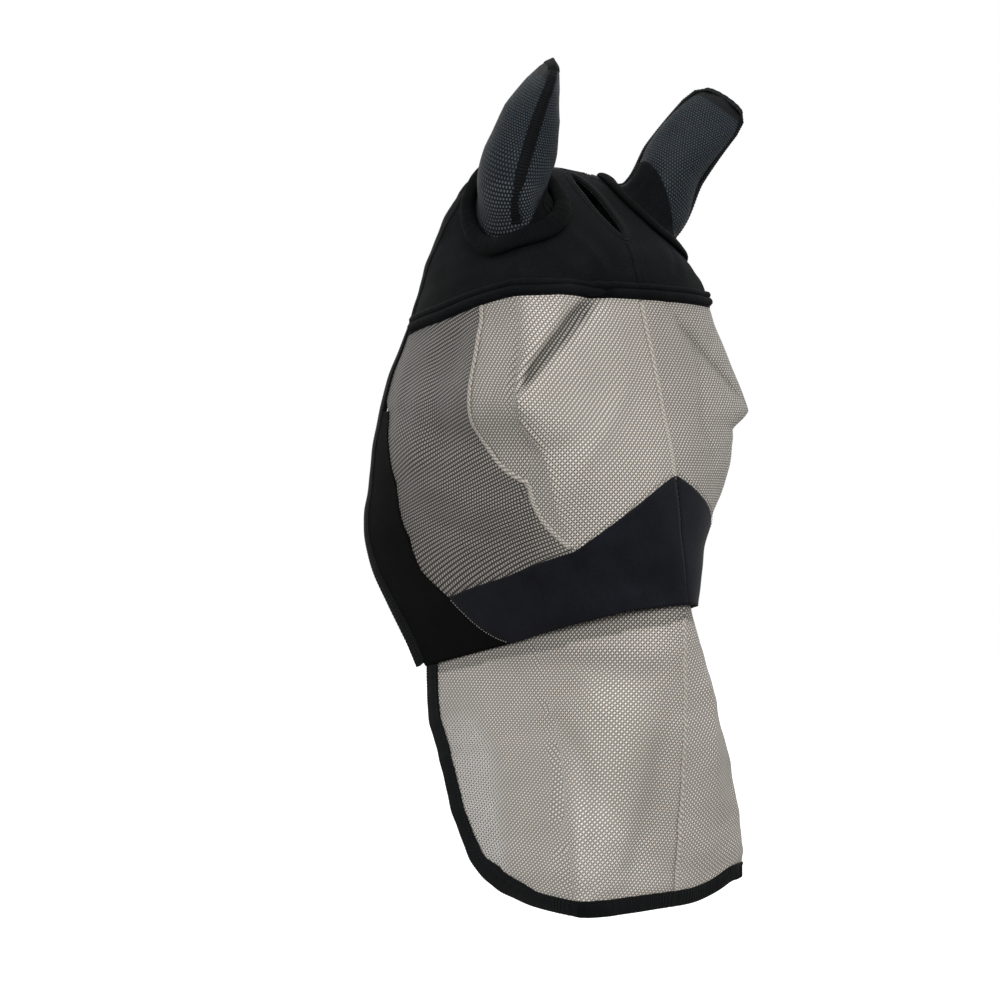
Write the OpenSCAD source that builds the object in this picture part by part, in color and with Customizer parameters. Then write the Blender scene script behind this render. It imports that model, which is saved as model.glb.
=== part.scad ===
// Fly mask for a horse: a mesh face with eye darts, a soft black crown with
// two mesh ears and a forelock slot, a noseband, black jaw panels, and a mesh
// nose flap that hangs below the noseband.
//
// Frame: millimetres, +Z up, -Y is the way the horse faces, -X is the horse's
// right. The origin is the poll, where the crown sits on top of the head.
//
// How the cloth is drawn: each side of the mask is a patch of one head
// surface, face(u, t). u runs from the face's centre line (0) round to the rear
// edge (1), and t runs down the head from the poll (0) to the bottom of the
// noseband (7). The nose flap has a surface of its own, flap(u, t), with t
// from its top (0) to its hem (5). A panel is a grid of points on a surface
// given a thickness, so that panels that meet at a seam share one line.

/* [Fit] */
// Length from the poll to the hem of the nose flap
mask_len = 660; // [560:10:760]
// Width across the brow and eyes, without the darts
face_w = 252; // [210:2:290]
// Depth from the front of the face to the rear edge at the jaw
face_depth = 352; // [290:2:410]
// How far each eye dart stands out over the eye
dart_h = 28; // [15:1:40]

/* [Cloth] */
// Thickness of the face and nose mesh
mesh_t = 1.2; // [0.8:0.1:2]
// Thickness of the black crown, noseband and jaw cloth
cloth_t = 1.6; // [1:0.1:2.4]
// Thickness of the bindings and tapes
tape_t = 1.2; // [0.8:0.1:1.8]
// Width of the binding along the rear edges
rear_bind_w = 14; // [9:1:20]
// Width of the binding round the nose flap
nose_bind_w = 14; // [9:1:20]
// Width of the tape over a seam
seam_tape_w = 7; // [5:0.5:10]
// Height of the rolled hem above the brow
hem_w = 16; // [12:1:20]
// How far the rolled hem stands up
hem_h = 5; // [3:0.5:7]
// Gap left between two pieces of cloth that are sewn together
seam_gap = 0.3; // [0.2:0.05:0.5]

/* [Forelock slot] */
// Length of the slot between the ears
slot_len = 96; // [70:2:110]
// Width of the slot at its middle
slot_w = 22; // [14:1:30]

/* [Ears] */
// Length of an ear from its base to its tip
ear_len = 134; // [100:2:170]
// Radius of an ear at its base
ear_r = 35; // [28:1:38]
// Half width of an ear near its tip
ear_tip_w = 33; // [24:1:38]
// Gap between an ear and the padded collar round it
ear_clear = 5; // [4:0.5:7]
// Width of the padded collar
collar_w = 19; // [12:1:22]
// Height of the padded collar
collar_h = 10; // [6:0.5:14]

/* [Straps] */
// Width of the throat strap
throat_w = 50; // [30:2:56]
// Width of the jaw strap
jaw_w = 40; // [30:2:48]
// Length of the hook patch at the end of each strap
hook_len = 22; // [16:2:26]
// How far each strap reaches past the rear edge it closes on
strap_lap = 44; // [40:2:50]

/* [Hidden] */

black = [0.07, 0.08, 0.09];
beige = [0.62, 0.59, 0.54];
net = [0.16, 0.18, 0.20];

// Share of the reference head, which is 660 long, 252 wide and 352 deep
kx = face_w / 252;
ky = face_depth / 352;
kz = mask_len / 660;

// The head at each whole t: the centre line's y and z, the rear edge's y and
// z, the half width, the rear edge's x, how far back the widest place lies as
// a share of the depth, and how square the section is (2 is an ellipse)
FACE = [
    [  35,   -3,  42,  -12,  72, 68, 0.80, 2.6],
    [ -13,    0,  60,  -36,  84, 78, 0.62, 2.6],
    [ -87,  -69,  90,  -82, 106, 78, 0.30, 2.5],
    [-106, -122, 114, -130, 122, 75, 0.17, 2.4],
    [-132, -219, 162, -205, 125, 70, 0.13, 2.2],
    [-147, -280, 188, -285, 115, 64, 0.20, 2.2],
    [-156, -345, 196, -352,  90, 59, 0.38, 2.1],
    [-163, -402, 136, -450,  60, 54, 0.50, 2.0]
];
// The nose flap in the same terms; its top is tucked inside the noseband
FLAP = [
    [-157.5, -394, 125.5, -442, 53, 47, 0.50, 2.0],
    [-160, -455,  95, -500,  78, 72, 0.38, 2.3],
    [-159, -510,  62, -540,  92, 88, 0.30, 2.5],
    [-155, -570,  32, -590, 102, 98, 0.24, 2.8],
    [-150, -625,  -4, -635, 108, 103, 0.18, 3.0],
    [-146, -660, -50, -658, 103, 98, 0.20, 3.0]
];

// Where the seams run, in u and t
band_t = 0.55;      // front of the poll band
brow_t = 3.0;       // brow seam at the centre line
peak_t = 5.0;       // top of the noseband at the centre line
face_end_t = 7.0;   // bottom of the noseband
hem_t = 5.0;        // hem of the nose flap
eye_foot = [0.405, 6.0];    // where the eye seam meets the noseband
jaw_foot = [0.81, 6.5];     // where the jaw seam meets the noseband
under_bind_u = 0.985;       // how far a panel runs in under the rear binding

BROW = [[0, 3.0], [0.62, 3.0], [0.78, 3.18], [1, 3.3]];
EYE_SEAM = [[3.0, 0.67], [4.4, 0.68], [4.9, 0.64], [5.4, 0.55], [6.0, 0.405]];
JAW_FRONT = [[3.3, under_bind_u], [3.9, under_bind_u], [4.1, 0.935],
    [4.4, 0.914], [5.0, 0.864], [5.8, 0.83], [6.2, 0.835], [6.5, 0.81]];
jaw_top_t = 4.15;

// Dart over the eye: its point, how far it spreads in u, and in t above and
// below the point
dart_u = 0.53;
dart_t = 4;
dart_ru = 0.33;
dart_up = 0.84;
dart_down = 0.27;

// Ear hole in the crown
ear_u = 0.48;
ear_t = 1.5;
hole_r = ear_r + ear_clear;
// Each ear's lean from its base: out, forward and up
RIGHT_LEAN = [-8, -46, 122];
LEFT_LEAN = [38, -46, 112];

throat_t = 5.0;
jaw_strap_t = 6.3;

// Layers out from the middle of the cloth
cloth_top = cloth_t / 2;
slot_in = cloth_top + seam_gap;
bind_out = slot_in + tape_t;
patch_t = 0.8;
loop_lo = cloth_top + seam_gap;
hook_lo = loop_lo + patch_t + seam_gap;
strap_lo = hook_lo + patch_t + seam_gap;

// --- the head surface ---------------------------------------------------

function mix(a, b, f) = a + (b - a) * f;
function unit(v) = v / norm(v);
function spow(v, e) = sign(v) * pow(abs(v), e);
function smooth(f) = let (c = min(1, max(0, f))) c * c * (3 - 2 * c);

// Smooth curve through a table's rows, at a place between them
function row_at(tab, t) =
    let (last = len(tab) - 1,
        i = max(0, min(last - 1, floor(t))),
        f = t - i,
        b = tab[i], c = tab[i + 1],
        a = i == 0 ? 2 * b - c : tab[i - 1],
        d = i + 2 > last ? 2 * c - b : tab[i + 2])
    0.5 * (2 * b + (c - a) * f + (2 * a - 5 * b + 4 * c - d) * f * f
        + (3 * b - a - 3 * c + d) * f * f * f);

// Angle round the section at the rear edge
function end_angle(r) = 180 - asin(min(0.999, pow(r[5] / r[4], r[7] / 2)));

// Point on a section; u below 0 is the other side of the centre line
function section(tab, u, t) =
    let (r = row_at(tab, t),
        q = 2 / r[7],
        last = end_angle(r),
        c = spow(cos(u * last), q),
        c_end = spow(cos(last), q),
        h = c >= 0 ? r[6] * (1 - c)
            : r[6] + (1 - r[6]) * c / c_end)
    [-kx * r[4] * spow(sin(u * last), q), ky * mix(r[0], r[2], h),
        kz * mix(r[1], r[3], h)];

// The dart's height at a place
function dart(u, t) =
    let (spread = t < dart_t ? dart_up : dart_down,
        d = norm([(abs(u) - dart_u) / dart_ru, (t - dart_t) / spread]))
    d >= 1 ? 0 : dart_h * pow(1 - d, 1.5) * (1 + 0.6 * d);

function face(u, t) =
    section(FACE, u, t) + dart(u, t) * [-sign(u), 0, 0];
function flap(u, t) = section(FLAP, u, t);
function skin(on_flap, u, t) = on_flap ? flap(u, t) : face(u, t);

eps = 0.004;
function along_u(on_flap, u, t) =
    (skin(on_flap, u + eps, t) - skin(on_flap, u - eps, t)) / (2 * eps);
function along_t(on_flap, u, t) =
    (skin(on_flap, u, t + eps) - skin(on_flap, u, t - eps)) / (2 * eps);
function out(on_flap, u, t) =
    unit(cross(along_u(on_flap, u, t), along_t(on_flap, u, t)));
// Point that stands n off the surface
function off(on_flap, u, t, n) =
    skin(on_flap, u, t) + n * out(on_flap, u, t);
// Change in u, or in t, that moves a point by one millimetre
function mm_u(on_flap, u, t) = 1 / norm(along_u(on_flap, u, t));
function mm_t(on_flap, u, t) = 1 / norm(along_t(on_flap, u, t));
// The u that lies x to the side of the centre line
function u_at(tab, x, t) =
    let (r = row_at(tab, t))
    sign(x) * asin(pow(abs(x) / (kx * r[4]), r[7] / 2)) / end_angle(r);

// --- solids from grids and rings ----------------------------------------

// Two triangles over four points
function quad(a, b, c, d) = [[a, b, c], [a, c, d]];

// A sheet: top and bottom are grids of the same shape, rows going along u
// and columns along t. looped joins the last column to the first.
module sheet(top, bottom, looped = false) {
    rows = len(top);
    cols = len(top[0]);
    n = rows * cols;
    pts = concat([for (r = top) for (p = r) p], [for (r = bottom) for (p = r) p]);
    spans = looped ? cols : cols - 1;
    function id(i, j) = i * cols + j % cols;
    skin_faces = [for (i = [0 : rows - 2]) for (j = [0 : spans - 1])
        for (f = concat(
            quad(id(i, j), id(i, j + 1), id(i + 1, j + 1), id(i + 1, j)),
            quad(n + id(i, j), n + id(i + 1, j), n + id(i + 1, j + 1),
                n + id(i, j + 1)))) f];
    row_rims = [for (j = [0 : spans - 1])
        for (f = concat(
            quad(id(0, j), n + id(0, j), n + id(0, j + 1), id(0, j + 1)),
            quad(id(rows - 1, j), id(rows - 1, j + 1),
                n + id(rows - 1, j + 1), n + id(rows - 1, j)))) f];
    col_rims = looped ? [] : [for (i = [0 : rows - 2])
        for (f = concat(
            quad(id(i, 0), id(i + 1, 0), n + id(i + 1, 0), n + id(i, 0)),
            quad(id(i, cols - 1), n + id(i, cols - 1),
                n + id(i + 1, cols - 1), id(i + 1, cols - 1)))) f];
    polyhedron(points = pts, faces = concat(skin_faces, row_rims, col_rims),
        convexity = 10);
}

// A strip with the same ring of points at each step along it. caps splits
// the ring into convex faces for the two ends.
module strip(rings, caps = [[0, 1, 2, 3]], looped = false) {
    m = len(rings[0]);
    steps = looped ? len(rings) : len(rings) - 1;
    function id(k, i) = (k % len(rings)) * m + i % m;
    side_faces = [for (k = [0 : steps - 1]) for (i = [0 : m - 1])
        for (f = quad(id(k, i), id(k + 1, i), id(k + 1, i + 1), id(k, i + 1))) f];
    last = len(rings) - 1;
    end_faces = looped ? [] : concat(
        [for (c = caps) [for (i = c) id(0, i)]],
        [for (c = caps) [for (i = [len(c) - 1 : -1 : 0]) id(last, c[i])]]);
    polyhedron(points = [for (r = rings) for (p = r) p],
        faces = concat(side_faces, end_faces), convexity = 10);
}

// A panel on a surface: uv(a, b) gives [u, t] for a and b from 0 to 1
module panel(uv, na, nb, lo, hi, on_flap = false) {
    places = [for (i = [0 : na]) [for (j = [0 : nb]) uv(i / na, j / nb)]];
    sheet([for (r = places) [for (p = r) off(on_flap, p[0], p[1], hi)]],
        [for (r = places) [for (p = r) off(on_flap, p[0], p[1], lo)]]);
}

// A folded binding round an edge. Each place is [u, t, du, dt]: a point on
// the edge, and the step in u and t of one millimetre from it on to the cloth.
BIND_CAPS = [[0, 1, 6, 7], [1, 2, 5, 6], [2, 3, 4, 5]];
module binding(places, w, inner, outer, on_flap = false, looped = false) {
    lip = outer - inner;
    function at(p, s, n) = off(on_flap, p[0] + s * p[2], p[1] + s * p[3], n);
    strip([for (p = places) [
        at(p, w, outer), at(p, -lip, outer), at(p, -lip, -outer), at(p, w, -outer),
        at(p, w, -inner), at(p, 0, -inner), at(p, 0, inner), at(p, w, inner)]],
        BIND_CAPS, looped);
}

module on_side(left) {
    if (left) mirror([1, 0, 0]) children();
    else children();
}

// --- crown ----------------------------------------------------------------

slot_mid_t = 1.5;
slot_half_t = slot_len / 2 * mm_t(false, 0.001, slot_mid_t);
// Half width of the slot at a place down it
function slot_x(t) =
    let (f = (t - slot_mid_t) / slot_half_t)
    abs(f) >= 1 ? 0 : slot_w / 2 * cos(90 * f);
function brow(u) = lookup(u, BROW);

// Place on the face nearest to point p, found in a few steps from a guess
function place_near(p, u, t, tries = 5) =
    tries == 0 ? [u, t] :
    let (e = p - face(u, t), su = along_u(false, u, t), st = along_t(false, u, t),
        a = su * su, b = su * st, c = st * st, d = a * c - b * b,
        x = e * su, y = e * st)
    place_near(p, u + (x * c - y * b) / d, t + (y * a - x * b) / d, tries - 1);

// The ear's base: its middle, and its own right, down and outward directions
ear_mid = face(ear_u, ear_t);
ear_out = out(false, ear_u, ear_t);
ear_back = unit(along_u(false, ear_u, ear_t));
ear_down = cross(ear_out, ear_back);
// Place at angle a round the ear's base, r from its middle
function hole(a, r) =
    place_near(ear_mid + r * (cos(a) * ear_back + sin(a) * ear_down), ear_u, ear_t);
// Angle round the ear's base at which a point lies
function base_angle(p) =
    let (d = p - ear_mid) atan2(d * ear_down, d * ear_back);

// Outline of a crown panel, from the rear edge down and round to the poll
brow_gap = 0.01;
function crown_rim() = concat(
    [for (i = [0 : 6]) [under_bind_u, mix(ear_t, brow(1), i / 7) - brow_gap]],
    [for (i = [0 : 17]) let (u = mix(under_bind_u, 0.002, i / 18))
        [u, brow(u) - brow_gap]],
    [for (i = [0 : 23])
        let (t = mix(brow_t - brow_gap, band_t, i / 24))
        [u_at(FACE, slot_x(t) + seam_gap / 2, t), t]],
    [for (i = [0 : 7]) [mix(0.002, under_bind_u, i / 8), band_t]],
    [for (i = [0 : 4]) [under_bind_u, mix(band_t, ear_t, i / 5)]]);

module crown(left) {
    rim = crown_rim();
    edge = [for (p = rim) hole(base_angle(face(p[0], p[1])), hole_r)];
    rings = 8;
    places = [for (k = [0 : rings])
        [for (i = [0 : len(rim) - 1]) mix(edge[i], rim[i], k / rings)]];
    on_side(left)
    sheet([for (r = places) [for (p = r) off(false, p[0], p[1], cloth_top)]],
        [for (r = places) [for (p = r) off(false, p[0], p[1], -cloth_top)]],
        looped = true);
}

module crown_right() { color(black) crown(false); }
module crown_left() { color(black) crown(true); }

module poll_band() {
    gap_t = seam_gap * mm_t(false, 0.3, band_t);
    color(black)
    panel(function (a, b) [mix(-under_bind_u, under_bind_u, a),
        mix(0, band_t - gap_t * 2, b)], 28, 3, -cloth_top, cloth_top);
}

// Strip of tape down the centre line from t0 to t1
module centre_tape(tab, t0, t1, steps, lo, on_flap = false) {
    strip([for (k = [0 : steps])
        let (t = mix(t0, t1, k / steps),
            u = u_at(tab, seam_tape_w / 2, t))
        [off(on_flap, u, t, lo), off(on_flap, u, t, lo + tape_t),
            off(on_flap, -u, t, lo + tape_t), off(on_flap, -u, t, lo)]]);
}

module crown_seam() {
    top = slot_mid_t + slot_half_t + 12 * mm_t(false, 0.001, 2);
    foot = brow_t - (hem_w + 2) * mm_t(false, 0.001, 2.8);
    color(black) centre_tape(FACE, top, foot, 6, slot_in);
}

// Binding round the forelock slot
slot_bind_w = 7;
module forelock_binding() {
    turns = 24;
    color(black)
    binding([for (k = [0 : turns - 1])
        let (a = 360 * k / turns,
            t = slot_mid_t - slot_half_t * cos(a),
            x = slot_w / 2 * sin(a),
            t2 = t - cos(a) * mm_t(false, 0.001, t),
            x2 = x + sin(a))
        [u_at(FACE, x, t), t, u_at(FACE, x2, t2) - u_at(FACE, x, t), t2 - t]],
        slot_bind_w, slot_in, bind_out, looped = true);
}

// Rolled hem above the brow: two rolls side by side
HEM_CAPS = [[0, 1, 2], [0, 2, 3], [0, 3, 6], [3, 4, 6], [4, 5, 6]];
hem_clear = 0.4;        // more room under the hem, which bends over the brow
module brow_hem(left) {
    lo = slot_in + hem_clear;
    profile = [[1, lo], [1, 0.45 * hem_h + lo], [0.76, hem_h + lo],
        [0.5, 0.6 * hem_h + lo], [0.24, hem_h + lo], [0, 0.45 * hem_h + lo], [0, lo]];
    last_u = 1 - (rear_bind_w + 2) * mm_u(false, 0.98, brow_t);
    steps = 20;
    on_side(left)
    strip([for (k = [0 : steps])
        let (u = mix(0.012, last_u, k / steps),
            step = mm_t(false, u, brow_t))
        [for (p = profile) off(false, u, brow(u) - (1 + p[0] * hem_w) * step, p[1])]],
        HEM_CAPS);
}

module brow_hem_right() { color(black) brow_hem(false); }
module brow_hem_left() { color(black) brow_hem(true); }

// --- ears -------------------------------------------------------------------

// Padded ring round the base of an ear
collar_clear = 1.5;     // room between the ear hole's edge and the ring
module ear_collar(left) {
    turns = 24;
    sides = 8;
    mid_r = hole_r + collar_clear + collar_w / 2;
    lift = slot_in + collar_h / 2;
    on_side(left)
    strip([for (k = [0 : turns - 1])
        let (a = 360 * k / turns)
        [for (i = [0 : sides - 1])
            let (b = 360 * i / sides + 22.5,
                p = hole(a, mid_r + collar_w / 2 * cos(b)))
            off(false, p[0], p[1], lift - collar_h / 2 * sin(b))]],
        looped = true);
}

module ear_collar_right() { color(black) ear_collar(false); }
module ear_collar_left() { color(black) ear_collar(true); }

// How wide and how thick an ear is, at shares of its length
EAR_W = [[0, ear_r], [0.35, ear_r + 1], [0.65, mix(ear_r, ear_tip_w, 0.6)],
    [0.85, ear_tip_w * 0.88], [0.95, ear_tip_w * 0.66], [1, ear_tip_w * 0.4]];
EAR_D = [[0, ear_r], [0.35, ear_r * 0.9], [0.65, ear_r * 0.6],
    [0.85, ear_r * 0.34], [0.95, ear_r * 0.2], [1, ear_r * 0.13]];

// Point of an ear: a is the angle round it, s the share of its length. Its
// foot follows the crown and rises straight out of it before the ear leans.
function ear_point(lean, a, s, grow) =
    let (axis = unit(lean),
        flat = unit([-1, -1, 0]),
        wide = unit(flat - (flat * axis) * axis),
        deep = cross(axis, wide),
        foot_r = mix(hole_r - foot_clear - mesh_t / 2, ear_r, smooth(s / 0.08)),
        p = hole(base_angle(ear_mid + cos(a) * wide + sin(a) * deep), foot_r + grow),
        foot = face(p[0], p[1]) + ear_len * s * ear_out,
        upper = ear_mid + ear_len * s * axis
            + (lookup(s, EAR_W) + grow) * cos(a) * wide
            + (lookup(s, EAR_D) + grow) * sin(a) * deep)
    mix(foot, upper, smooth(s / 0.45));

foot_clear = 1.1;       // room between the ear's foot and the hole's edge
EAR_STEPS = [0, 0.04, 0.08, 0.15, 0.24, 0.36, 0.48, 0.6, 0.7, 0.8, 0.88, 0.95, 1];
module ear_panel(lean, left, from, to) {
    spread = 14;
    function grid(grow) = [for (k = [0 : spread])
        [for (s = EAR_STEPS) ear_point(lean, mix(from, to, k / spread), 1 - s, grow)]];
    on_side(left) sheet(grid(mesh_t / 2), grid(-mesh_t / 2));
}

// Binding of an ear: up one side seam, over the tip and down the other
ear_bind_w = 7;
module ear_binding(lean, left) {
    inner = mesh_t / 2 + seam_gap;
    outer = inner + tape_t;
    fold = 1;       // how far the binding's ridge stands over the seam
    bind_from = 0.07;   // it starts above the ear's flared foot
    RISE = [0, 0.7, 1, 0.7, 0];
    function half_angle(s) = min(70, ear_bind_w / (lookup(s, EAR_D) + 6) * 180 / PI);
    function arc(s, middle, dir, n) = [for (i = [0 : 4])
        ear_point(lean, middle + dir * half_angle(s) * (i / 2 - 1), s, n + fold * RISE[i])];
    function turned(v) = [for (i = [len(v) - 1 : -1 : 0]) v[i]];
    function side_ring(s, middle, dir) =
        concat(arc(s, middle, dir, outer), turned(arc(s, middle, dir, inner)));
    tip = ear_point(lean, 0, 1, 0);
    far_tip = ear_point(lean, 180, 1, 0);
    deep = unit(ear_point(lean, 90, 1, 0) - ear_point(lean, 270, 1, 0));
    axis = unit(lean);
    half_d = lookup(1, EAR_D);
    function bow(p, n) = [for (v = [[-1, -1], [-1, -0.4], [0, 0], [1, -0.4], [1, -1]])
        p + v[0] * (half_d + n) * deep
            + (v[1] * ear_bind_w + (v[0] == 0 ? n + fold : 0)) * axis];
    function top_ring(f) =
        let (p = mix(tip, far_tip, f)) concat(bow(p, outer), turned(bow(p, inner)));
    on_side(left)
    strip(concat(
        [for (s = EAR_STEPS) if (s > bind_from && s < 1) side_ring(s, 0, 1)],
        [for (f = [0.1, 0.35, 0.65, 0.9]) top_ring(f)],
        [for (s = turned(EAR_STEPS)) if (s > bind_from && s < 1) side_ring(s, 180, -1)]),
        [[0, 1, 8, 9], [1, 2, 7, 8], [2, 3, 6, 7], [3, 4, 5, 6]]);
}

function to_right(v) = [-v[0], v[1], v[2]];
edge_a = 2;     // degrees that a panel stops short of the ear's side seams
module ear_front_right() {
    color(net) ear_panel(RIGHT_LEAN, false, edge_a, 180 - edge_a);
}
module ear_front_left() {
    color(net) ear_panel(to_right(LEFT_LEAN), true, edge_a, 180 - edge_a);
}
module ear_back_right() {
    color(net) ear_panel(RIGHT_LEAN, false, 180 + edge_a, 360 - edge_a);
}
module ear_back_left() {
    color(net) ear_panel(to_right(LEFT_LEAN), true, 180 + edge_a, 360 - edge_a);
}
module ear_binding_right() { color(black) ear_binding(RIGHT_LEAN, false); }
module ear_binding_left() { color(black) ear_binding(to_right(LEFT_LEAN), true); }

// --- face -------------------------------------------------------------------

function eye_seam(t) = lookup(t, EYE_SEAM);
function jaw_front(t) = t > jaw_foot[1] ? jaw_foot[0] : lookup(t, JAW_FRONT);
function noseband_top(u) = u < eye_foot[0]
    ? mix(peak_t, eye_foot[1], u / eye_foot[0])
    : mix(eye_foot[1], jaw_foot[1], (u - eye_foot[0]) / (jaw_foot[0] - eye_foot[0]));

gap_u = seam_gap * 0.004;   // a seam gap in u, where the side is 250 round
gap_t = seam_gap * 0.016;   // a seam gap in t, where a step is 60 long

// The eye mesh's rows of points run from the brow, at b = 0, to the noseband
eye_rows = 18;
function eye_row(b) = mix(brow_t + gap_t, eye_foot[1] - gap_t, b);

module eye_mesh_front(left) {
    on_side(left)
    panel(function (a, b)
        let (near = [0.002, mix(brow_t + gap_t, peak_t - gap_t, b)],
            t = eye_row(b),
            p = mix(near, [eye_seam(t) - gap_u, t], a))
        [p[0], max(p[1], brow(p[0]) + gap_t)], 16, eye_rows, -mesh_t / 2, mesh_t / 2);
}

module eye_mesh_rear(left) {
    top = brow(under_bind_u);
    on_side(left)
    panel(function (a, b)
        let (t = eye_row(b),
            near = [eye_seam(t) + gap_u, t],
            tf = mix(top + gap_t, jaw_foot[1] - gap_t, b),
            p = mix(near, [jaw_front(tf) - gap_u * 2, tf], a))
        [p[0], max(p[1], brow(p[0]) + gap_t)], 8, eye_rows, -mesh_t / 2, mesh_t / 2);
}

eye_tape_clear = 0.6;   // more room under the tape, which crosses the dart
module eye_seam_tape(left) {
    lo = mesh_t / 2 + seam_gap + eye_tape_clear;
    on_side(left)
    strip([for (k = [1 : eye_rows - 1])
        let (t = eye_row(k / eye_rows),
            u = eye_seam(t),
            half = seam_tape_w / 2 * mm_u(false, u, t))
        [off(false, u + half, t, lo), off(false, u + half, t, lo + tape_t),
            off(false, u - half, t, lo + tape_t), off(false, u - half, t, lo)]]);
}

module noseband(left) {
    on_side(left)
    panel(function (a, b)
        let (u = mix(0.003, jaw_foot[0] - gap_u, a))
        [u, mix(noseband_top(u) + gap_t, face_end_t, b)], 16, 7, -cloth_top, cloth_top);
}

module jaw_panel(left) {
    on_side(left)
    panel(function (a, b)
        let (t = mix(jaw_top_t, face_end_t, b))
        [mix(jaw_front(t) + gap_u, under_bind_u, a), t], 4, 18, -cloth_top, cloth_top);
}

module rear_binding(left) {
    steps = 36;
    on_side(left)
    binding([for (k = [0 : steps])
        let (t = mix(0, face_end_t, k / steps))
        [1, t, -mm_u(false, 0.98, t), 0]],
        rear_bind_w, slot_in, bind_out);
}

module eye_mesh_front_right() { color(beige) eye_mesh_front(false); }
module eye_mesh_front_left() { color(beige) eye_mesh_front(true); }
module eye_mesh_rear_right() { color(beige) eye_mesh_rear(false); }
module eye_mesh_rear_left() { color(beige) eye_mesh_rear(true); }
module eye_seam_tape_right() { color(beige) eye_seam_tape(false); }
module eye_seam_tape_left() { color(beige) eye_seam_tape(true); }
module face_seam() {
    color(beige)
    centre_tape(FACE, brow_t + 0.03, peak_t - 0.03, 10, mesh_t / 2 + seam_gap);
}
module noseband_right() { color(black) noseband(false); }
module noseband_left() { color(black) noseband(true); }
module jaw_panel_right() { color(black) jaw_panel(false); }
module jaw_panel_left() { color(black) jaw_panel(true); }
module rear_binding_right() { color(black) rear_binding(false); }
module rear_binding_left() { color(black) rear_binding(true); }

// --- straps -------------------------------------------------------------------

// Each strap is sewn to the right rear edge, crosses behind the jaw, and
// closes on the outside of the left side. Distances are from the left rear edge.
function on_left(mm, t, n) =
    let (p = off(false, 1 - mm * mm_u(false, 0.97, t), t, n))
    [-p[0], p[1], p[2]];

// How far beyond the left rear edge a strap turns round it
turn_out = 4;
// Point of a strap: place 0 is the sewn end, and n is the height above its
// inner face
function strap_path(t, n) =
    let (right = face(1, t),
        behind = bind_out + 3,
        across = -right[0],
        turn = on_left(-turn_out, t, strap_lo))
    concat(
        [for (k = [0 : 6])
            let (f = k / 6)
            [mix(right[0], across - 4, f), right[1] + behind + 9 * sin(180 * f) + n,
                right[2]]],
        [[turn[0] + n, turn[1] + n, turn[2]]],
        [for (f = [0.07, 0.3, 0.53, 0.77, 1])
            on_left(f * strap_lap, t, strap_lo + n)]);

module strap(t_mid, w) {
    step = mm_t(false, 0.98, t_mid);
    lines = [for (b = [-1, -0.5, 0, 0.5, 1]) t_mid + b * w / 2 * step];
    paths_in = [for (t = lines) strap_path(t, 0)];
    paths_out = [for (t = lines) strap_path(t, cloth_t)];
    rows = len(paths_in);
    cols = len(paths_in[0]);
    function across(g) = [for (j = [0 : cols - 1]) [for (i = [0 : rows - 1]) g[i][j]]];
    color(black) sheet(across(paths_in), across(paths_out));
}

// A patch on the left side, between two distances from the rear edge
module patch(t_mid, w, from, to, lo) {
    step = mm_t(false, 0.9, t_mid);
    color([0.1, 0.1, 0.11])
    mirror([1, 0, 0])
    panel(function (a, b) [1 - mix(to, from, a) * mm_u(false, 0.97, t_mid),
        t_mid + (b - 0.5) * (w - 6) * step], 4, 4, lo, lo + patch_t);
}

module throat_strap() { strap(throat_t, throat_w); }
module throat_hook_patch() {
    patch(throat_t, throat_w, strap_lap - hook_len - 2, strap_lap - 2, hook_lo);
}
module throat_loop_patch() {
    patch(throat_t, throat_w, rear_bind_w + 2, strap_lap + 2, loop_lo);
}
module jaw_strap() { strap(jaw_strap_t, jaw_w); }
module jaw_hook_patch() {
    patch(jaw_strap_t, jaw_w, strap_lap - hook_len - 2, strap_lap - 2, hook_lo);
}
module jaw_loop_patch() {
    patch(jaw_strap_t, jaw_w, rear_bind_w + 2, strap_lap + 2, loop_lo);
}

// --- nose flap ---------------------------------------------------------------

flap_edge_u = 0.99;
hem_edge_t = hem_t - 0.02;
module nose_mesh(left) {
    on_side(left)
    panel(function (a, b) [mix(0.003, flap_edge_u, a), mix(0, hem_edge_t, b)],
        18, 15, -mesh_t / 2, mesh_t / 2, on_flap = true);
}

module nose_mesh_right() { color(beige) nose_mesh(false); }
module nose_mesh_left() { color(beige) nose_mesh(true); }

module nose_seam() {
    foot = hem_t - (nose_bind_w + 2) * mm_t(true, 0.001, 4.8);
    color(beige)
    centre_tape(FLAP, 0.35, foot, 12, mesh_t / 2 + seam_gap, on_flap = true);
}

// Black tape behind the top of the mesh, just below the noseband
tape_drop = 24;
module nose_top_tape() {
    lo = -mesh_t / 2 - seam_gap - tape_t;
    last_u = 1 - (nose_bind_w + 3) * mm_u(true, 0.98, 0.3);
    foot = tape_drop * mm_t(true, 0.3, 0.2);
    color(black)
    panel(function (a, b) [mix(-last_u, last_u, a), mix(0.02, foot, b)],
        32, 2, lo, lo + tape_t, on_flap = true);
}

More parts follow.
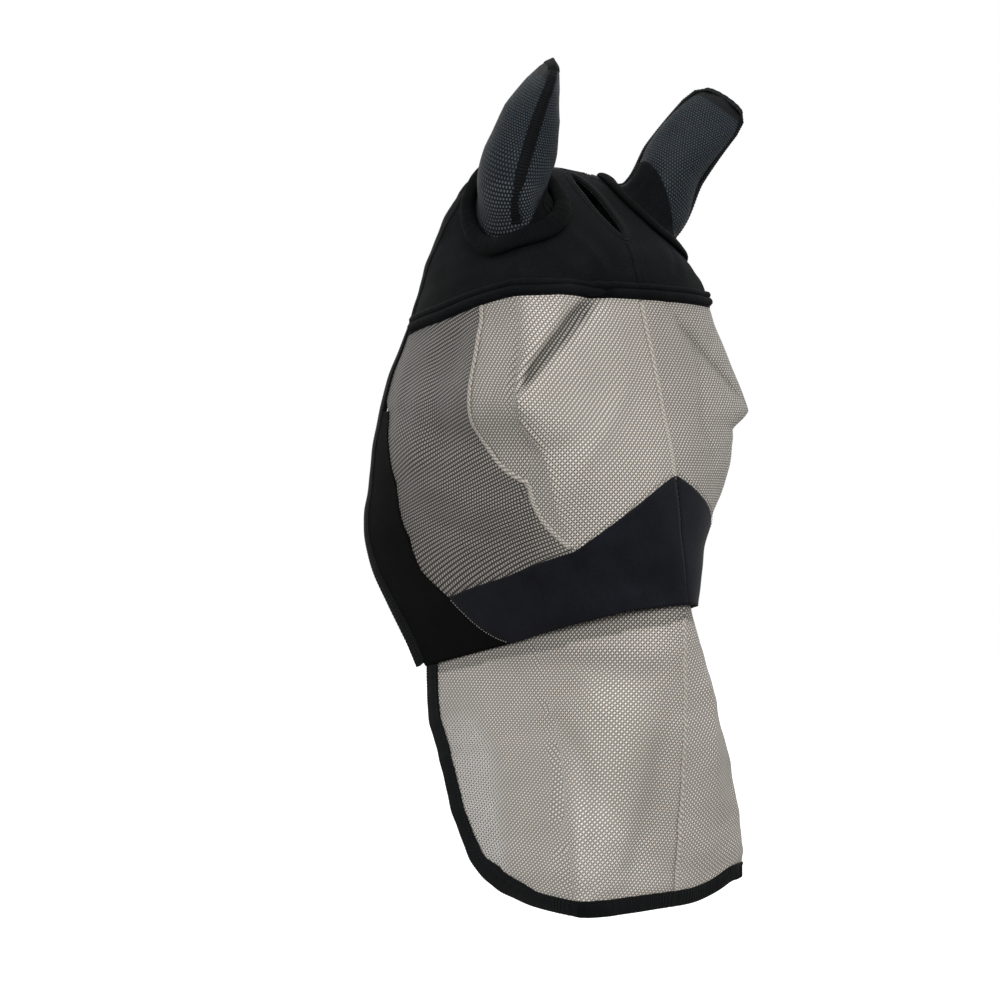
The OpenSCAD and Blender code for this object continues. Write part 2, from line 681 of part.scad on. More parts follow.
module nose_binding() {
    inner = mesh_t / 2 + seam_gap;
    start_t = 0.3;
    side = [for (k = [0 : 14]) let (t = mix(start_t, hem_t - 0.25, k / 14))
        [1, t, -mm_u(true, 0.98, t), 0]];
    corner = [for (k = [1 : 3]) let (b = 22.5 * k)
        [1 - 0.02 * k / 3, hem_t - 0.25 + 0.25 * k / 3,
            -cos(b) * mm_u(true, 0.97, 4.8), -sin(b) * mm_t(true, 0.97, 4.8)]];
    hem = [for (k = [0 : 13]) let (u = mix(0.94, 0.06, k / 13))
        [u, hem_t, 0, -mm_t(true, u, 4.9)]];
    right = concat(side, corner, hem);
    n = len(right);
    left = [for (k = [n - 1 : -1 : 0]) let (p = right[k])
        [-p[0], p[1], -p[2], p[3]]];
    color(black) binding(concat(right, left), nose_bind_w, inner, inner + tape_t,
        on_flap = true);
}

crown_right();
crown_left();
poll_band();
crown_seam();
forelock_binding();
brow_hem_right();
brow_hem_left();
ear_collar_right();
ear_collar_left();
ear_front_right();
ear_front_left();
ear_back_right();
ear_back_left();
ear_binding_right();
ear_binding_left();
eye_mesh_front_right();
eye_mesh_front_left();
eye_mesh_rear_right();
eye_mesh_rear_left();
eye_seam_tape_right();
eye_seam_tape_left();
face_seam();
noseband_right();
noseband_left();
jaw_panel_right();
jaw_panel_left();
rear_binding_right();
rear_binding_left();
throat_strap();
throat_hook_patch();
throat_loop_patch();
jaw_strap();
jaw_hook_patch();
jaw_loop_patch();
nose_mesh_right();
nose_mesh_left();
nose_seam();
nose_top_tape();
nose_binding();
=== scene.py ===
# %% [markdown]
# # A horse's fly mask
# A fly mask is a hood of loose-woven mesh that keeps insects off a horse's eyes, ears and
# nose. This one has a beige mesh face, a soft black crown with two net ears and a slot for
# the forelock, a black noseband and jaw panels, and a mesh nose flap with a black binding.
# All of it is cloth, so every piece here is a thin sheet, a strip or a roll that follows one
# shared surface: the shape of the head that fills the mask.

# %% Load the frame
import math

import bmesh
import bpy
import numpy as np
from mathutils import Matrix, Vector


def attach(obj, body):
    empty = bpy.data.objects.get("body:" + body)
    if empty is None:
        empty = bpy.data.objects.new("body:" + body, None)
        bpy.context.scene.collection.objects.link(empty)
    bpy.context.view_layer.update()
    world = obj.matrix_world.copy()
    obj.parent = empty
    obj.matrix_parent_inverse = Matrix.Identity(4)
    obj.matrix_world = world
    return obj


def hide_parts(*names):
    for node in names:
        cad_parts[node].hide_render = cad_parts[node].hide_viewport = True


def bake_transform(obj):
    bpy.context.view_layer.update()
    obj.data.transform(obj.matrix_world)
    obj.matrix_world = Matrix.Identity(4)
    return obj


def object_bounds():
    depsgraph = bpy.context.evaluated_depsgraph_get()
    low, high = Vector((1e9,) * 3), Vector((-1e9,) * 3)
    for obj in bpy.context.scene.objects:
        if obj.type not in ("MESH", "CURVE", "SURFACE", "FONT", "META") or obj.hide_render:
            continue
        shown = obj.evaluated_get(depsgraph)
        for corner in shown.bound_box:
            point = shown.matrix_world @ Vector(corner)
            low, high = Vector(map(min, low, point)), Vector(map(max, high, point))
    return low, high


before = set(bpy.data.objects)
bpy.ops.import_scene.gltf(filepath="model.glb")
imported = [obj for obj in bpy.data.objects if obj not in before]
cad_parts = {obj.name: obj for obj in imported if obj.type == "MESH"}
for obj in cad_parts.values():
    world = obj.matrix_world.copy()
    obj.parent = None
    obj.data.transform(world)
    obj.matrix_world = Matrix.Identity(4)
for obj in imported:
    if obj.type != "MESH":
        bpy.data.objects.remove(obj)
cad_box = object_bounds()
MM = 0.001
print("frame:", len(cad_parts), "nodes, box", [tuple(round(x, 3) for x in c) for c in cad_box])

# %% [markdown]
# ## Camera, light and ground
# The mask is seen at eye height, 44 degrees round to the horse's right, from 2.4 m away
# through a long lens, which keeps it from looking swollen. Two big soft lamps and a white
# room light it. The white behind it comes from the world and the floor as the camera sees
# them, so that it puts no more light on the cloth.

# %% Camera
VIEW_AZIMUTH = math.radians(-44)
VIEW_DISTANCE = 2.4
AIM = Vector((-0.0855, -0.0125, -0.3015))

camera = bpy.data.objects.new("camera", bpy.data.cameras.new("camera"))
camera.data.lens = 96
camera.data.sensor_width = 36
to_camera = Vector((math.sin(VIEW_AZIMUTH), -math.cos(VIEW_AZIMUTH), 0))
camera.location = AIM + VIEW_DISTANCE * to_camera
camera.rotation_euler = (math.radians(90), 0, VIEW_AZIMUTH)
bpy.context.scene.collection.objects.link(camera)
bpy.context.scene.camera = camera
bpy.context.scene.view_settings.view_transform = "Standard"


# %% Node and colour helpers
def set_inputs(tree, node, inputs):
    """An input is a number, a colour or another node's output."""
    for key, value in inputs.items():
        if isinstance(value, bpy.types.NodeSocket):
            tree.links.new(value, node.inputs[key])
        else:
            node.inputs[key].default_value = value


def add_node(tree, kind, inputs=None, **settings):
    """Adds a shader node of a kind, with its settings and inputs."""
    node = tree.nodes.new("ShaderNode" + kind)
    for name, value in settings.items():
        setattr(node, name, value)
    set_inputs(tree, node, inputs or {})
    return node


def linear(code):
    """An sRGB hex colour as linear red, green, blue and alpha."""
    shares = [int(code[i : i + 2], 16) / 255 for i in (1, 3, 5)]
    return tuple(s / 12.92 if s <= 0.04045 else ((s + 0.055) / 1.055) ** 2.4 for s in shares) + (1,)


def new_material(name):
    """An empty material's node tree and its Principled shader."""
    material = bpy.data.materials.new(name)
    material.use_nodes = True
    return material, material.node_tree, material.node_tree.nodes["Principled BSDF"]


# %% World and lamps
ROOM_LIGHT = 0.45

world = bpy.data.worlds.new("white_room")
bpy.context.scene.world = world
world.use_nodes = True
room = world.node_tree
seen = add_node(room, "LightPath")
mirrored = add_node(room, "Math", {0: seen.outputs["Is Camera Ray"], 1: seen.outputs["Is Glossy Ray"]},
                    operation="MAXIMUM")
through = add_node(room, "Math", {0: mirrored.outputs[0], 1: seen.outputs["Is Transmission Ray"]},
                   operation="MAXIMUM")
strength = add_node(room, "MapRange", {"Value": through.outputs[0], "To Min": ROOM_LIGHT, "To Max": 1.0})
set_inputs(room, room.nodes["Background"], {"Color": (1, 1, 1, 1), "Strength": strength.outputs[0]})


def soft_lamp(name, azimuth, elevation, distance, size, watts):
    """A square lamp that looks at the mask; azimuth 0 is in front of the horse's face."""
    lamp = bpy.data.objects.new(name, bpy.data.lights.new(name, "AREA"))
    lamp.data.size = size
    lamp.data.energy = watts
    a, e = math.radians(azimuth), math.radians(elevation)
    back = Vector((math.sin(a) * math.cos(e), -math.cos(a) * math.cos(e), math.sin(e)))
    lamp.location = AIM + distance * back
    lamp.rotation_euler = back.to_track_quat("Z", "Y").to_euler()
    bpy.context.scene.collection.objects.link(lamp)


soft_lamp("front_lamp", -38, 25, 2.2, 1.2, 27)
soft_lamp("top_lamp", -20, 75, 2.2, 1.2, 7)

# %% Floor
FLOOR_DROP = 0.75
FLOOR_HALF = 14

bm = bmesh.new()
bmesh.ops.create_grid(bm, x_segments=2, y_segments=2, size=FLOOR_HALF)
bmesh.ops.translate(bm, verts=bm.verts, vec=(0, 0, cad_box[0].z - FLOOR_DROP))
floor_mesh = bpy.data.meshes.new("floor")
bm.to_mesh(floor_mesh)
bm.free()
floor = bpy.data.objects.new("floor", floor_mesh)
bpy.context.scene.collection.objects.link(floor)

paint, tree, shader = new_material("white_painted_floor")
path = add_node(tree, "LightPath")
set_inputs(tree, shader, {"Base Color": (0.85, 0.85, 0.85, 1), "Roughness": 0.9,
                          "Emission Color": (1, 1, 1, 1),
                          "Emission Strength": path.outputs["Is Camera Ray"]})
floor_mesh.materials.append(paint)
print("floor at", round(cad_box[0].z - FLOOR_DROP, 2), "m")

# %% [markdown]
# ## The shape of the head
# The mask is limp, and takes its shape from the head. So the head's surface comes first, as
# a function: u goes round from the centre of the face (0) to the rear edge (1 on the horse's
# right, -1 on its left), and t goes down from the poll (0) to the bottom of the noseband (7).
# Rows of eight numbers give a section at each whole t, and a smooth curve joins the rows.
# The nose flap is a second surface, from its top (0) to its hem (5).

# %% Sections of the head and of the nose flap
# ridge y and z, rear edge y and z, half width, rear edge x, how far back the widest place
# is as a share of the depth, and how square the section is; lengths in mm
FACE_ROWS = np.array([
    [35, -3, 42, -12, 72, 68, 0.80, 2.6],
    [-13, 0, 60, -36, 84, 78, 0.62, 2.6],
    [-87, -69, 90, -82, 106, 78, 0.30, 2.5],
    [-106, -122, 114, -130, 122, 75, 0.17, 2.4],
    [-132, -219, 162, -205, 125, 70, 0.13, 2.2],
    [-147, -280, 188, -285, 115, 64, 0.20, 2.2],
    [-156, -345, 196, -352, 90, 59, 0.38, 2.1],
    [-163, -402, 136, -450, 60, 54, 0.50, 2.0],
])
FLAP_ROWS = np.array([
    [-157.5, -394, 125.5, -442, 53, 47, 0.50, 2.0],
    [-160, -455, 95, -500, 78, 72, 0.38, 2.3],
    [-159, -510, 62, -540, 92, 88, 0.30, 2.5],
    [-155, -570, 32, -590, 102, 98, 0.24, 2.8],
    [-150, -625, -4, -635, 108, 103, 0.18, 3.0],
    [-146, -660, -50, -658, 103, 98, 0.20, 3.0],
])


def smooth_curve(points, i, f):
    """The smooth curve through a list of points, at share f of the way from point i to the next."""
    ends = np.vstack([2 * points[0] - points[1], points, 2 * points[-1] - points[-2]])
    f = f[..., None]
    a, b, c, d = (ends[i + k] for k in range(4))
    return 0.5 * (2 * b + (c - a) * f + (2 * a - 5 * b + 4 * c - d) * f**2 + (3 * b - a - 3 * c + d) * f**3)


def row_at(rows, t):
    i = np.clip(np.floor(t).astype(int), 0, len(rows) - 2)
    return smooth_curve(rows, i, t - i)


def signed_power(x, power):
    return np.sign(x) * np.abs(x) ** power


def section(rows, u, t):
    """Points, in metres, on the plain head at u and t."""
    ridge_y, ridge_z, rear_y, rear_z, half_w, rear_x, widest, square = np.moveaxis(row_at(rows, t), -1, 0)
    power = 2 / square
    last = np.pi - np.arcsin(np.minimum(0.999, (rear_x / half_w) ** (square / 2)))
    c = signed_power(np.cos(u * last), power)
    c_end = signed_power(np.cos(last), power)
    back = np.where(c >= 0, widest * (1 - c), widest + (1 - widest) * c / c_end)
    x = -half_w * signed_power(np.sin(u * last), power)
    y = ridge_y + (rear_y - ridge_y) * back
    z = ridge_z + (rear_z - ridge_z) * back
    return np.stack([x, y, z], -1) * MM


def outward(skin, u, t):
    """The direction straight out of a surface."""
    step = 0.004
    across = skin(u + step, t) - skin(u - step, t)
    down = skin(u, t + step) - skin(u, t - step)
    normal = np.cross(across, down)
    return normal / np.linalg.norm(normal, axis=-1, keepdims=True)


# %% [markdown]
# ## Darts and folds
# A sewn dart throws the mesh out over each eye, so that it never touches the lashes. Loose
# mesh also breaks into folds between its seams. Both are part of the surface function, so
# that the panels, tapes and stitches all bend together. A fold is a short line in u and t
# with a height and a width: a soft one falls off as a bell, a sharp one as a tent.

# %% Eye dart
DART_U, DART_T = 0.53, 4.0
DART_SPREAD, DART_UP, DART_DOWN = 0.33, 0.84, 0.27
DART_DOWN_NEAR = 0.65    # the horse's right dart runs out more slowly, as it hangs looser
DART_HEIGHT = 28


def bare_face(u, t):
    """The head with its two eye darts, before any folds."""
    fall = np.where(t < DART_T, DART_UP, np.where(u > 0, DART_DOWN_NEAR, DART_DOWN))
    d = np.minimum(1, np.hypot((np.abs(u) - DART_U) / DART_SPREAD, (t - DART_T) / fall))
    points = section(FACE_ROWS, u, t)
    points[..., 0] -= np.sign(u) * DART_HEIGHT * MM * (1 - d) ** 1.5 * (1 + 0.6 * d)
    return points


def bare_flap(u, t):
    return section(FLAP_ROWS, u, t)


# %% Folds
SIDE_MM, STEP_MM = 250, 62      # about how long one u and one t are

# each fold: height and half width in mm, sharp or soft, and the points it runs through
FACE_FOLDS = [
    (-9.0, 5.5, "soft", [(0.12, 2.95), (0.37, 3.45), (0.56, 3.92)]),
    (3.0, 7, "soft", [(0.27, 2.95), (0.45, 3.45), (0.57, 3.75)]),
    (2.6, 9, "soft", [(0.126, 3.15), (0.09, 3.65), (0.20, 4.17), (0.27, 4.5), (0.39, 5.05), (0.45, 5.35)]),
    (4.5, 8, "sharp", [(0.54, 4.05), (0.596, 4.2), (0.50, 4.86), (0.45, 5.4), (0.41, 5.9)]),
    (3.0, 8, "soft", [(0.672, 3.1), (0.677, 4.0), (0.66, 4.5)]),
    (-3.0, 9, "soft", [(0.735, 3.2), (0.74, 3.9)]),
    (-2.6, 7, "soft", [(0.79, 3.3), (0.77, 4.0), (0.76, 4.6)]),
    (1.8, 7, "soft", [(0.90, 3.5), (0.88, 4.1), (0.86, 4.6)]),
    (2.2, 8, "soft", [(0.80, 5.0), (0.70, 5.3), (0.60, 5.5)]),
    (-2.0, 7, "soft", [(0.80, 5.45), (0.70, 5.75), (0.58, 5.9)]),
    (2.5, 10, "soft", [(0.837, 3.7), (0.819, 4.3), (0.795, 5.4)]),
    (-1.6, 9, "soft", [(0.86, 5.2), (0.78, 4.8), (0.74, 4.4)]),
    (1.4, 8, "soft", [(0.66, 5.3), (0.72, 5.9), (0.74, 6.3)]),
    (-3.5, 5, "sharp", [(-0.09, 3.0), (-0.14, 3.25), (-0.32, 3.6), (-0.47, 3.93)]),
    (2.0, 8, "soft", [(-0.50, 4.1), (-0.40, 4.5), (-0.36, 5.2), (-0.40, 5.9)]),
    (-1.5, 8, "soft", [(-0.20, 3.3), (-0.16, 4.2), (-0.22, 5.0)]),
    (2.2, 4, "sharp", [(0.423, 6.05), (0.394, 6.65)]),
    (-3.2, 9, "soft", [(0.59, 6.25), (0.52, 6.7)]),
    (-1.8, 10, "soft", [(0.30, 5.9), (0.24, 6.7)]),
    (1.3, 9, "soft", [(-0.30, 5.9), (-0.35, 6.6)]),
    (1.8, 9, "soft", [(0.62, 2.35), (0.50, 2.85)]),
    (-1.6, 8, "soft", [(0.40, 2.3), (0.30, 2.75), (0.12, 2.85)]),
    (1.4, 8, "soft", [(0.24, 1.9), (0.14, 2.3), (0.10, 2.75)]),
    (1.6, 9, "soft", [(-0.55, 2.4), (-0.42, 2.85)]),
    (-1.4, 8, "soft", [(-0.25, 2.0), (-0.16, 2.6)]),
]
FLAP_FOLDS = [
    (2.5, 10, "soft", [(0.72, 0.12), (0.5, 0.3), (0.2, 0.5)]),
    (-5.5, 12, "soft", [(0.95, 0.25), (0.67, 0.45), (0.49, 0.62), (0.29, 0.82), (0.03, 0.95)]),
    (3.0, 16, "soft", [(0.62, 0.9), (0.40, 1.7), (0.30, 2.7)]),
    (-2.6, 20, "soft", [(0.80, 1.4), (0.62, 2.6), (0.55, 4.0)]),
    (-2.5, 18, "soft", [(0.12, 1.6), (0.14, 3.0), (0.24, 4.4)]),
    (2.5, 16, "soft", [(-0.10, 0.7), (-0.22, 1.6), (-0.20, 3.0)]),
    (-2.5, 16, "soft", [(-0.40, 0.6), (-0.45, 2.0), (-0.40, 3.4)]),
]


def fold_heights(folds, u, t):
    """How far the folds lift the cloth, in metres."""
    total = np.zeros(np.shape(u))
    for height, width, kind, points in folds:
        run = np.array(points) * (SIDE_MM, STEP_MM)
        lengths = np.linalg.norm(np.diff(run, axis=0), axis=1)
        starts = np.concatenate([[0], np.cumsum(lengths)])
        nearest = np.full(np.shape(u), 1e9)
        place = np.zeros(np.shape(u))
        for k in range(len(run) - 1):
            line = run[k + 1] - run[k]
            dx, dy = u * SIDE_MM - run[k][0], t * STEP_MM - run[k][1]
            f = np.clip((dx * line[0] + dy * line[1]) / lengths[k] ** 2, 0, 1)
            away = np.hypot(dx - f * line[0], dy - f * line[1])
            place = np.where(away < nearest, (starts[k] + f * lengths[k]) / starts[-1], place)
            nearest = np.minimum(away, nearest)
        fade = np.clip(np.minimum(place, 1 - place) * 5, 0.35, 1)
        shape = np.exp(-((nearest / width) ** 2)) if kind == "soft" else np.exp(-nearest / width)
        total += height * fade * shape
    return total * MM


def fold_marks(region, side, folds, clear, shade):
    """Points of a mesh: how open its holes are, and the painted shade it gets in its folds and where it
    turns away from the light.
    """
    def marks(a, b):
        u, t = region(a if side > 0 else 1 - a, b)
        dip = np.clip(-fold_heights(folds, side * u, t) / (5 * MM) - 0.15, 0, 1)
        turned = shade + 0.16 * np.clip((u - 0.45) / 0.1, 0, 1)     # away from the light
        return {"clear": clear, "backed": turned + (1 - turned) * 0.85 * dip}
    return marks


def ripple(u, t, height):
    """Slow uneven waves that any loose cloth has, in metres."""
    waves = np.sin(11 * u + 3.1 * t) * np.sin(4.3 * t - 5 * u + 1)
    small = np.sin(23 * u - 6 * t + 2) * np.sin(9 * t + 7 * u)
    return height * MM * (waves + 0.45 * small)


def face(u, t):
    lift = fold_heights(FACE_FOLDS, u, t) + ripple(u, t, 0.7)
    return bare_face(u, t) + lift[..., None] * outward(bare_face, u, t)


def flap(u, t):
    settle = np.clip(t, 0, 1)
    lift = (fold_heights(FLAP_FOLDS, u, t) + ripple(u, t, 0.9)) * settle
    points = bare_flap(u, t) + lift[..., None] * outward(bare_flap, u, t)
    caught = np.clip(-u / 0.45, 0, 1)
    points[..., 2] += 15 * MM * caught**2 * (3 - 2 * caught) * np.clip(t / 5, 0, 1.2) ** 3
    return points


# %% [markdown]
# ## Cloth laid flat
# A weave keeps its size whatever the cloth does, so each piece needs a UV map in real
# lengths. On a panel, one direction is the distance round from the centre line and the other
# the distance down it, both measured along the surface, as if the grain ran down the face.

# %% Flat places
class FlatMap:
    """Distances round and down a surface, measured once and then looked up."""

    def __init__(self, skin, last_t):
        self.u = np.linspace(-1.1, 1.1, 133)
        self.t = np.linspace(-0.3, last_t + 0.3, 121)
        u, t = np.meshgrid(self.u, self.t)
        points = skin(u, t)
        round_it = np.linalg.norm(np.diff(points, axis=1), axis=-1)
        distance = np.concatenate([np.zeros((len(self.t), 1)), np.cumsum(round_it, axis=1)], axis=1)
        middle = len(self.u) // 2
        self.across = distance - distance[:, middle : middle + 1]
        down = np.linalg.norm(np.diff(points[:, middle], axis=0), axis=-1)
        self.down = np.concatenate([[0], np.cumsum(down)])

    def place(self, u, t, grain=0.0):
        """UV places in metres, turned by the grain angle in degrees."""
        x = (u - self.u[0]) / (self.u[1] - self.u[0])
        y = (t - self.t[0]) / (self.t[1] - self.t[0])
        i = np.clip(np.floor(x).astype(int), 0, len(self.u) - 2)
        j = np.clip(np.floor(y).astype(int), 0, len(self.t) - 2)
        fx, fy = x - i, y - j
        top = self.across[j, i] * (1 - fx) + self.across[j, i + 1] * fx
        low = self.across[j + 1, i] * (1 - fx) + self.across[j + 1, i + 1] * fx
        flat = np.stack([top * (1 - fy) + low * fy, np.interp(t, self.t, self.down)], -1)
        g = math.radians(grain)
        return flat @ np.array([[math.cos(g), math.sin(g)], [-math.sin(g), math.cos(g)]])


flat_face = FlatMap(bare_face, 7)
flat_flap = FlatMap(bare_flap, 5)
FLAT = {face: flat_face, flap: flat_flap}
print("rear edge to rear edge at the eyes:", round(flat_face.across[66, -6] * 2, 3), "m")

# %% [markdown]
# ## Sewing a piece
# Every piece starts as bmesh's flat grid, and a shape function moves each of its points to
# its place. It gets two shares, a and b, from 0 to 1 across and down the grid. A tube is a
# grid whose b goes round the section, and a ring is one whose a comes back to its start;
# their doubled points are merged. Sheets get their wall from a Solidify modifier.

# %% Grid to piece
def sew(name, shape, across, down, material, wall=0.0, tube=False, ring=False, marks=None):
    """Makes a cloth piece from a grid of across by down faces. marks(a, b) gives numbers
    that its material reads at each point, by name."""
    bm = bmesh.new()
    bmesh.ops.create_grid(bm, x_segments=across, y_segments=down, size=0.5)
    bm.verts.ensure_lookup_table()
    shares = np.array([v.co[:2] for v in bm.verts]) + 0.5
    places, flat = shape(shares[:, 0], shares[:, 1])
    uv = bm.loops.layers.uv.new("cloth")
    for v, place in zip(bm.verts, places):
        v.co = place
    for mark, values in (marks(shares[:, 0], shares[:, 1]) if marks else {}).items():
        layer = bm.verts.layers.float.new(mark)
        for v, value in zip(bm.verts, np.broadcast_to(values, len(shares))):
            v[layer] = value
    for f in bm.faces:
        f.smooth = True
        for corner in f.loops:
            corner[uv].uv = flat[corner.vert.index]
    if tube or ring:
        bmesh.ops.remove_doubles(bm, verts=bm.verts, dist=1e-6)
    if tube and not ring:
        open_edges = [e for e in bm.edges if e.is_boundary]
        bmesh.ops.holes_fill(bm, edges=open_edges, sides=0)
    if tube:
        bmesh.ops.recalc_face_normals(bm, faces=bm.faces)
    return to_object(name, bm, material, wall)


def to_object(name, bm, material, wall=0.0):
    mesh = bpy.data.meshes.new(name)
    bm.to_mesh(mesh)
    bm.free()
    mesh.materials.append(material)
    piece = bpy.data.objects.new(name, mesh)
    bpy.context.scene.collection.objects.link(piece)
    if wall:
        solid = piece.modifiers.new("wall", "SOLIDIFY")
        solid.thickness = wall * MM
        solid.offset = 0
    return piece


def belongs(piece, body, slot, *nodes):
    """Puts a piece on its body, if body is a name, and hides the plain solids it stands for; slot is not
    used.
    """
    if isinstance(body, str):
        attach(piece, body)
    else:
        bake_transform(piece)
    if nodes:
        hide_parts(*nodes)
    return piece


def panel(skin, region, side=1, rise=0.0, grain=0.0):
    """A shape for sew: region gives u and t, side is -1 on the horse's left, and rise is
    how far the cloth lies off the surface, in mm."""
    def shape(a, b):
        u, t = region(a if side > 0 else 1 - a, b)
        u = side * u
        places = skin(u, t) + rise * MM * outward(skin, u, t)
        return places, FLAT[skin].place(u, t, grain)
    return shape


# where the nose flap meets the noseband, and the way down the flap from there
SEAM_POINT = Vector((0, -0.05, -0.425))
DOWN_THE_FLAP = Vector((0, -0.16, -0.987))
FLAP_BEND = ("hood", "nose_flap", SEAM_POINT, SEAM_POINT + 0.11 * DOWN_THE_FLAP)

# %% [markdown]
# ## Woven mesh
# The face and nose are an open plain weave of polyester yarn coated in PVC, taupe and
# slightly glossy, with square holes. Where a down-running yarn lies on top it catches the
# light, and where it dives under it leaves the duller cross yarn, so the weave reads as
# rows of bright grains. The coating joins the grains a little along one diagonal, which
# makes chevrons where two panels meet. A point is open where it is near the middle of a cell
# both ways.
#
# Two numbers on each piece's points steer it: "clear" is how much of a hole is really open,
# because thick yarn seen at a slant closes it, and a second number darkens the mesh: with
# painted shade in its fold valleys and on panels turned from the light, along the flap's open
# edge, and at the flap's top where black tape lies right behind it. The yarns of the real mesh
# are about 2 mm apart and drawn 2.3 mm apart, because finer ones would blur to grey at this distance.

# %% Woven mesh
YARN_PITCH = 2.3 * MM


def diagonal(tree, cells, slope, weight):
    """A wave along one diagonal of the weave."""
    along = add_node(tree, "VectorMath", {0: cells, 1: slope}, operation="DOT_PRODUCT")
    wave = add_node(tree, "Math", {0: along.outputs["Value"]}, operation="COSINE")
    return add_node(tree, "Math", {0: wave.outputs[0], 1: weight}, operation="MULTIPLY").outputs[0]


def woven_mesh(name, light, dull, hole_shade, gap=0.46):
    """gap is the width of a hole as a share of the pitch."""
    material, tree, shader = new_material(name)
    uv = add_node(tree, "UVMap", uv_map="cloth")
    cells = add_node(tree, "VectorMath", {0: uv.outputs[0], "Scale": 1 / YARN_PITCH}, operation="SCALE")
    inside = add_node(tree, "VectorMath", {0: cells.outputs[0]}, operation="FRACTION")
    centred = add_node(tree, "VectorMath", {0: inside.outputs[0], 1: (0.5, 0.5, 0)}, operation="SUBTRACT")
    away = add_node(tree, "VectorMath", {0: centred.outputs[0]}, operation="ABSOLUTE")
    xy = add_node(tree, "SeparateXYZ", {0: away.outputs[0]})
    far = add_node(tree, "Math", {0: xy.outputs[0], 1: xy.outputs[1]}, operation="MAXIMUM")
    # +1 where the yarn that runs down is on top, -1 where the one that runs across is
    rising = diagonal(tree, cells.outputs[0], (math.pi, -math.pi, 0), 0.7)
    falling = diagonal(tree, cells.outputs[0], (math.pi, math.pi, 0), 0.3)
    over = add_node(tree, "Math", {0: rising, 1: falling}, operation="ADD")
    on_top = add_node(tree, "MapRange", {"Value": over.outputs[0], "From Min": -0.5, "From Max": 0.5})
    # the yarn's round back: highest along its middle, which is the cell's edge
    back = add_node(tree, "MapRange", {"Value": far.outputs[0], "From Min": gap / 2 - 0.05,
                                                 "From Max": gap / 2 + 0.13})
    height = add_node(tree, "Math", {0: back.outputs[0], 1: on_top.outputs[0]}, operation="MULTIPLY")
    # slow changes of shade, as dust and handling leave them
    where = add_node(tree, "TexCoord")
    cloud = add_node(tree, "TexNoise", {"Vector": where.outputs["Object"], "Scale": 14.0, "Detail": 3.0})
    worn = add_node(tree, "MapRange", {"Value": cloud.outputs[0], "From Min": 0.3, "From Max": 0.7,
                                                 "To Min": 0.7, "To Max": 1.0})
    shade = add_node(tree, "Math", {0: on_top.outputs[0], 1: worn.outputs[0]}, operation="MULTIPLY")
    yarn = add_node(tree, "Mix", {0: shade.outputs[0], 6: linear(dull), 7: linear(light)},
                    data_type="RGBA")
    colour = add_node(tree, "Mix", {0: back.outputs[0], 6: linear(hole_shade), 7: yarn.outputs[2]},
                      data_type="RGBA")
    # painted shade: the number read here darkens the mesh towards near black, more in its hollows than on
    # the yarn tops; at the flap's top it also stands for the black tape behind it
    backed = add_node(tree, "Attribute", attribute_name="backed")
    sunk = add_node(tree, "MapRange", {"Value": height.outputs[0], "To Min": 1.0, "To Max": 0.5})
    painted_darkening = add_node(tree, "Math", {0: backed.outputs["Fac"], 1: sunk.outputs[0]}, operation="MULTIPLY")
    darker = add_node(tree, "Mix", {0: painted_darkening.outputs[0], 6: colour.outputs[2],
                                              7: linear("#15110c")}, data_type="RGBA")
    clear = add_node(tree, "Attribute", attribute_name="clear")
    filled = add_node(tree, "Math", {0: 1.0, 1: clear.outputs["Fac"]}, operation="SUBTRACT")
    solid = add_node(tree, "Math", {0: far.outputs[0], 1: gap / 2}, operation="GREATER_THAN")
    alpha = add_node(tree, "Math", {0: solid.outputs[0], 1: filled.outputs[0]}, operation="MAXIMUM")
    relief = add_node(tree, "Math", {0: back.outputs[0], 1: height.outputs[0]}, operation="ADD")
    bump = add_node(tree, "Bump", {"Height": relief.outputs[0], "Strength": 0.6, "Distance": 0.3 * MM})
    set_inputs(tree, shader, {"Base Color": darker.outputs[2], "Alpha": alpha.outputs[0],
                              "Normal": bump.outputs[0], "Roughness": 0.5, "Specular IOR Level": 0.3})
    return material


# coated polyester yarn, taupe with a pale shine; the seams lie double, so they are closed
face_mesh = woven_mesh("woven_mesh_taupe", "#f4efe9", "#999186", "#544c43")
seam_mesh = woven_mesh("woven_mesh_doubled", "#ded8cf", "#8e867c", "#655d53", gap=0.2)

# %% [markdown]
# ## Ear net
# The ears are a knitted polyester net with round holes set like a honeycomb. Two square
# lattices, one shifted to the middle of the other, make that pattern: a point is open where
# it is near a centre of either. The real holes come every 2 mm or so, and are drawn every
# 2.7 mm, so that they show as holes.

# %% Ear net
NET_PITCH = 2.7 * MM
NET_HOLE = 0.27     # radius of a hole as a share of the pitch
NET_OPEN = 0.2     # how much of a hole is open, as the knit has depth
ROW_RATIO = math.sqrt(3)


def hole_distance(tree, cells, shift):
    """Distance, in cells, to the nearest centre of one of the two lattices."""
    moved = add_node(tree, "VectorMath", {0: cells, 1: (shift, shift * ROW_RATIO, 0)}, operation="ADD")
    wrapped = add_node(tree, "VectorMath", {0: moved.outputs[0], 1: (1, ROW_RATIO, 1),
                                                      2: (0, 0, 0)}, operation="WRAP")
    centred = add_node(tree, "VectorMath", {0: wrapped.outputs[0], 1: (0.5, 0.5 * ROW_RATIO, 0)},
                       operation="SUBTRACT")
    return add_node(tree, "VectorMath", {0: centred.outputs[0]}, operation="LENGTH").outputs["Value"]


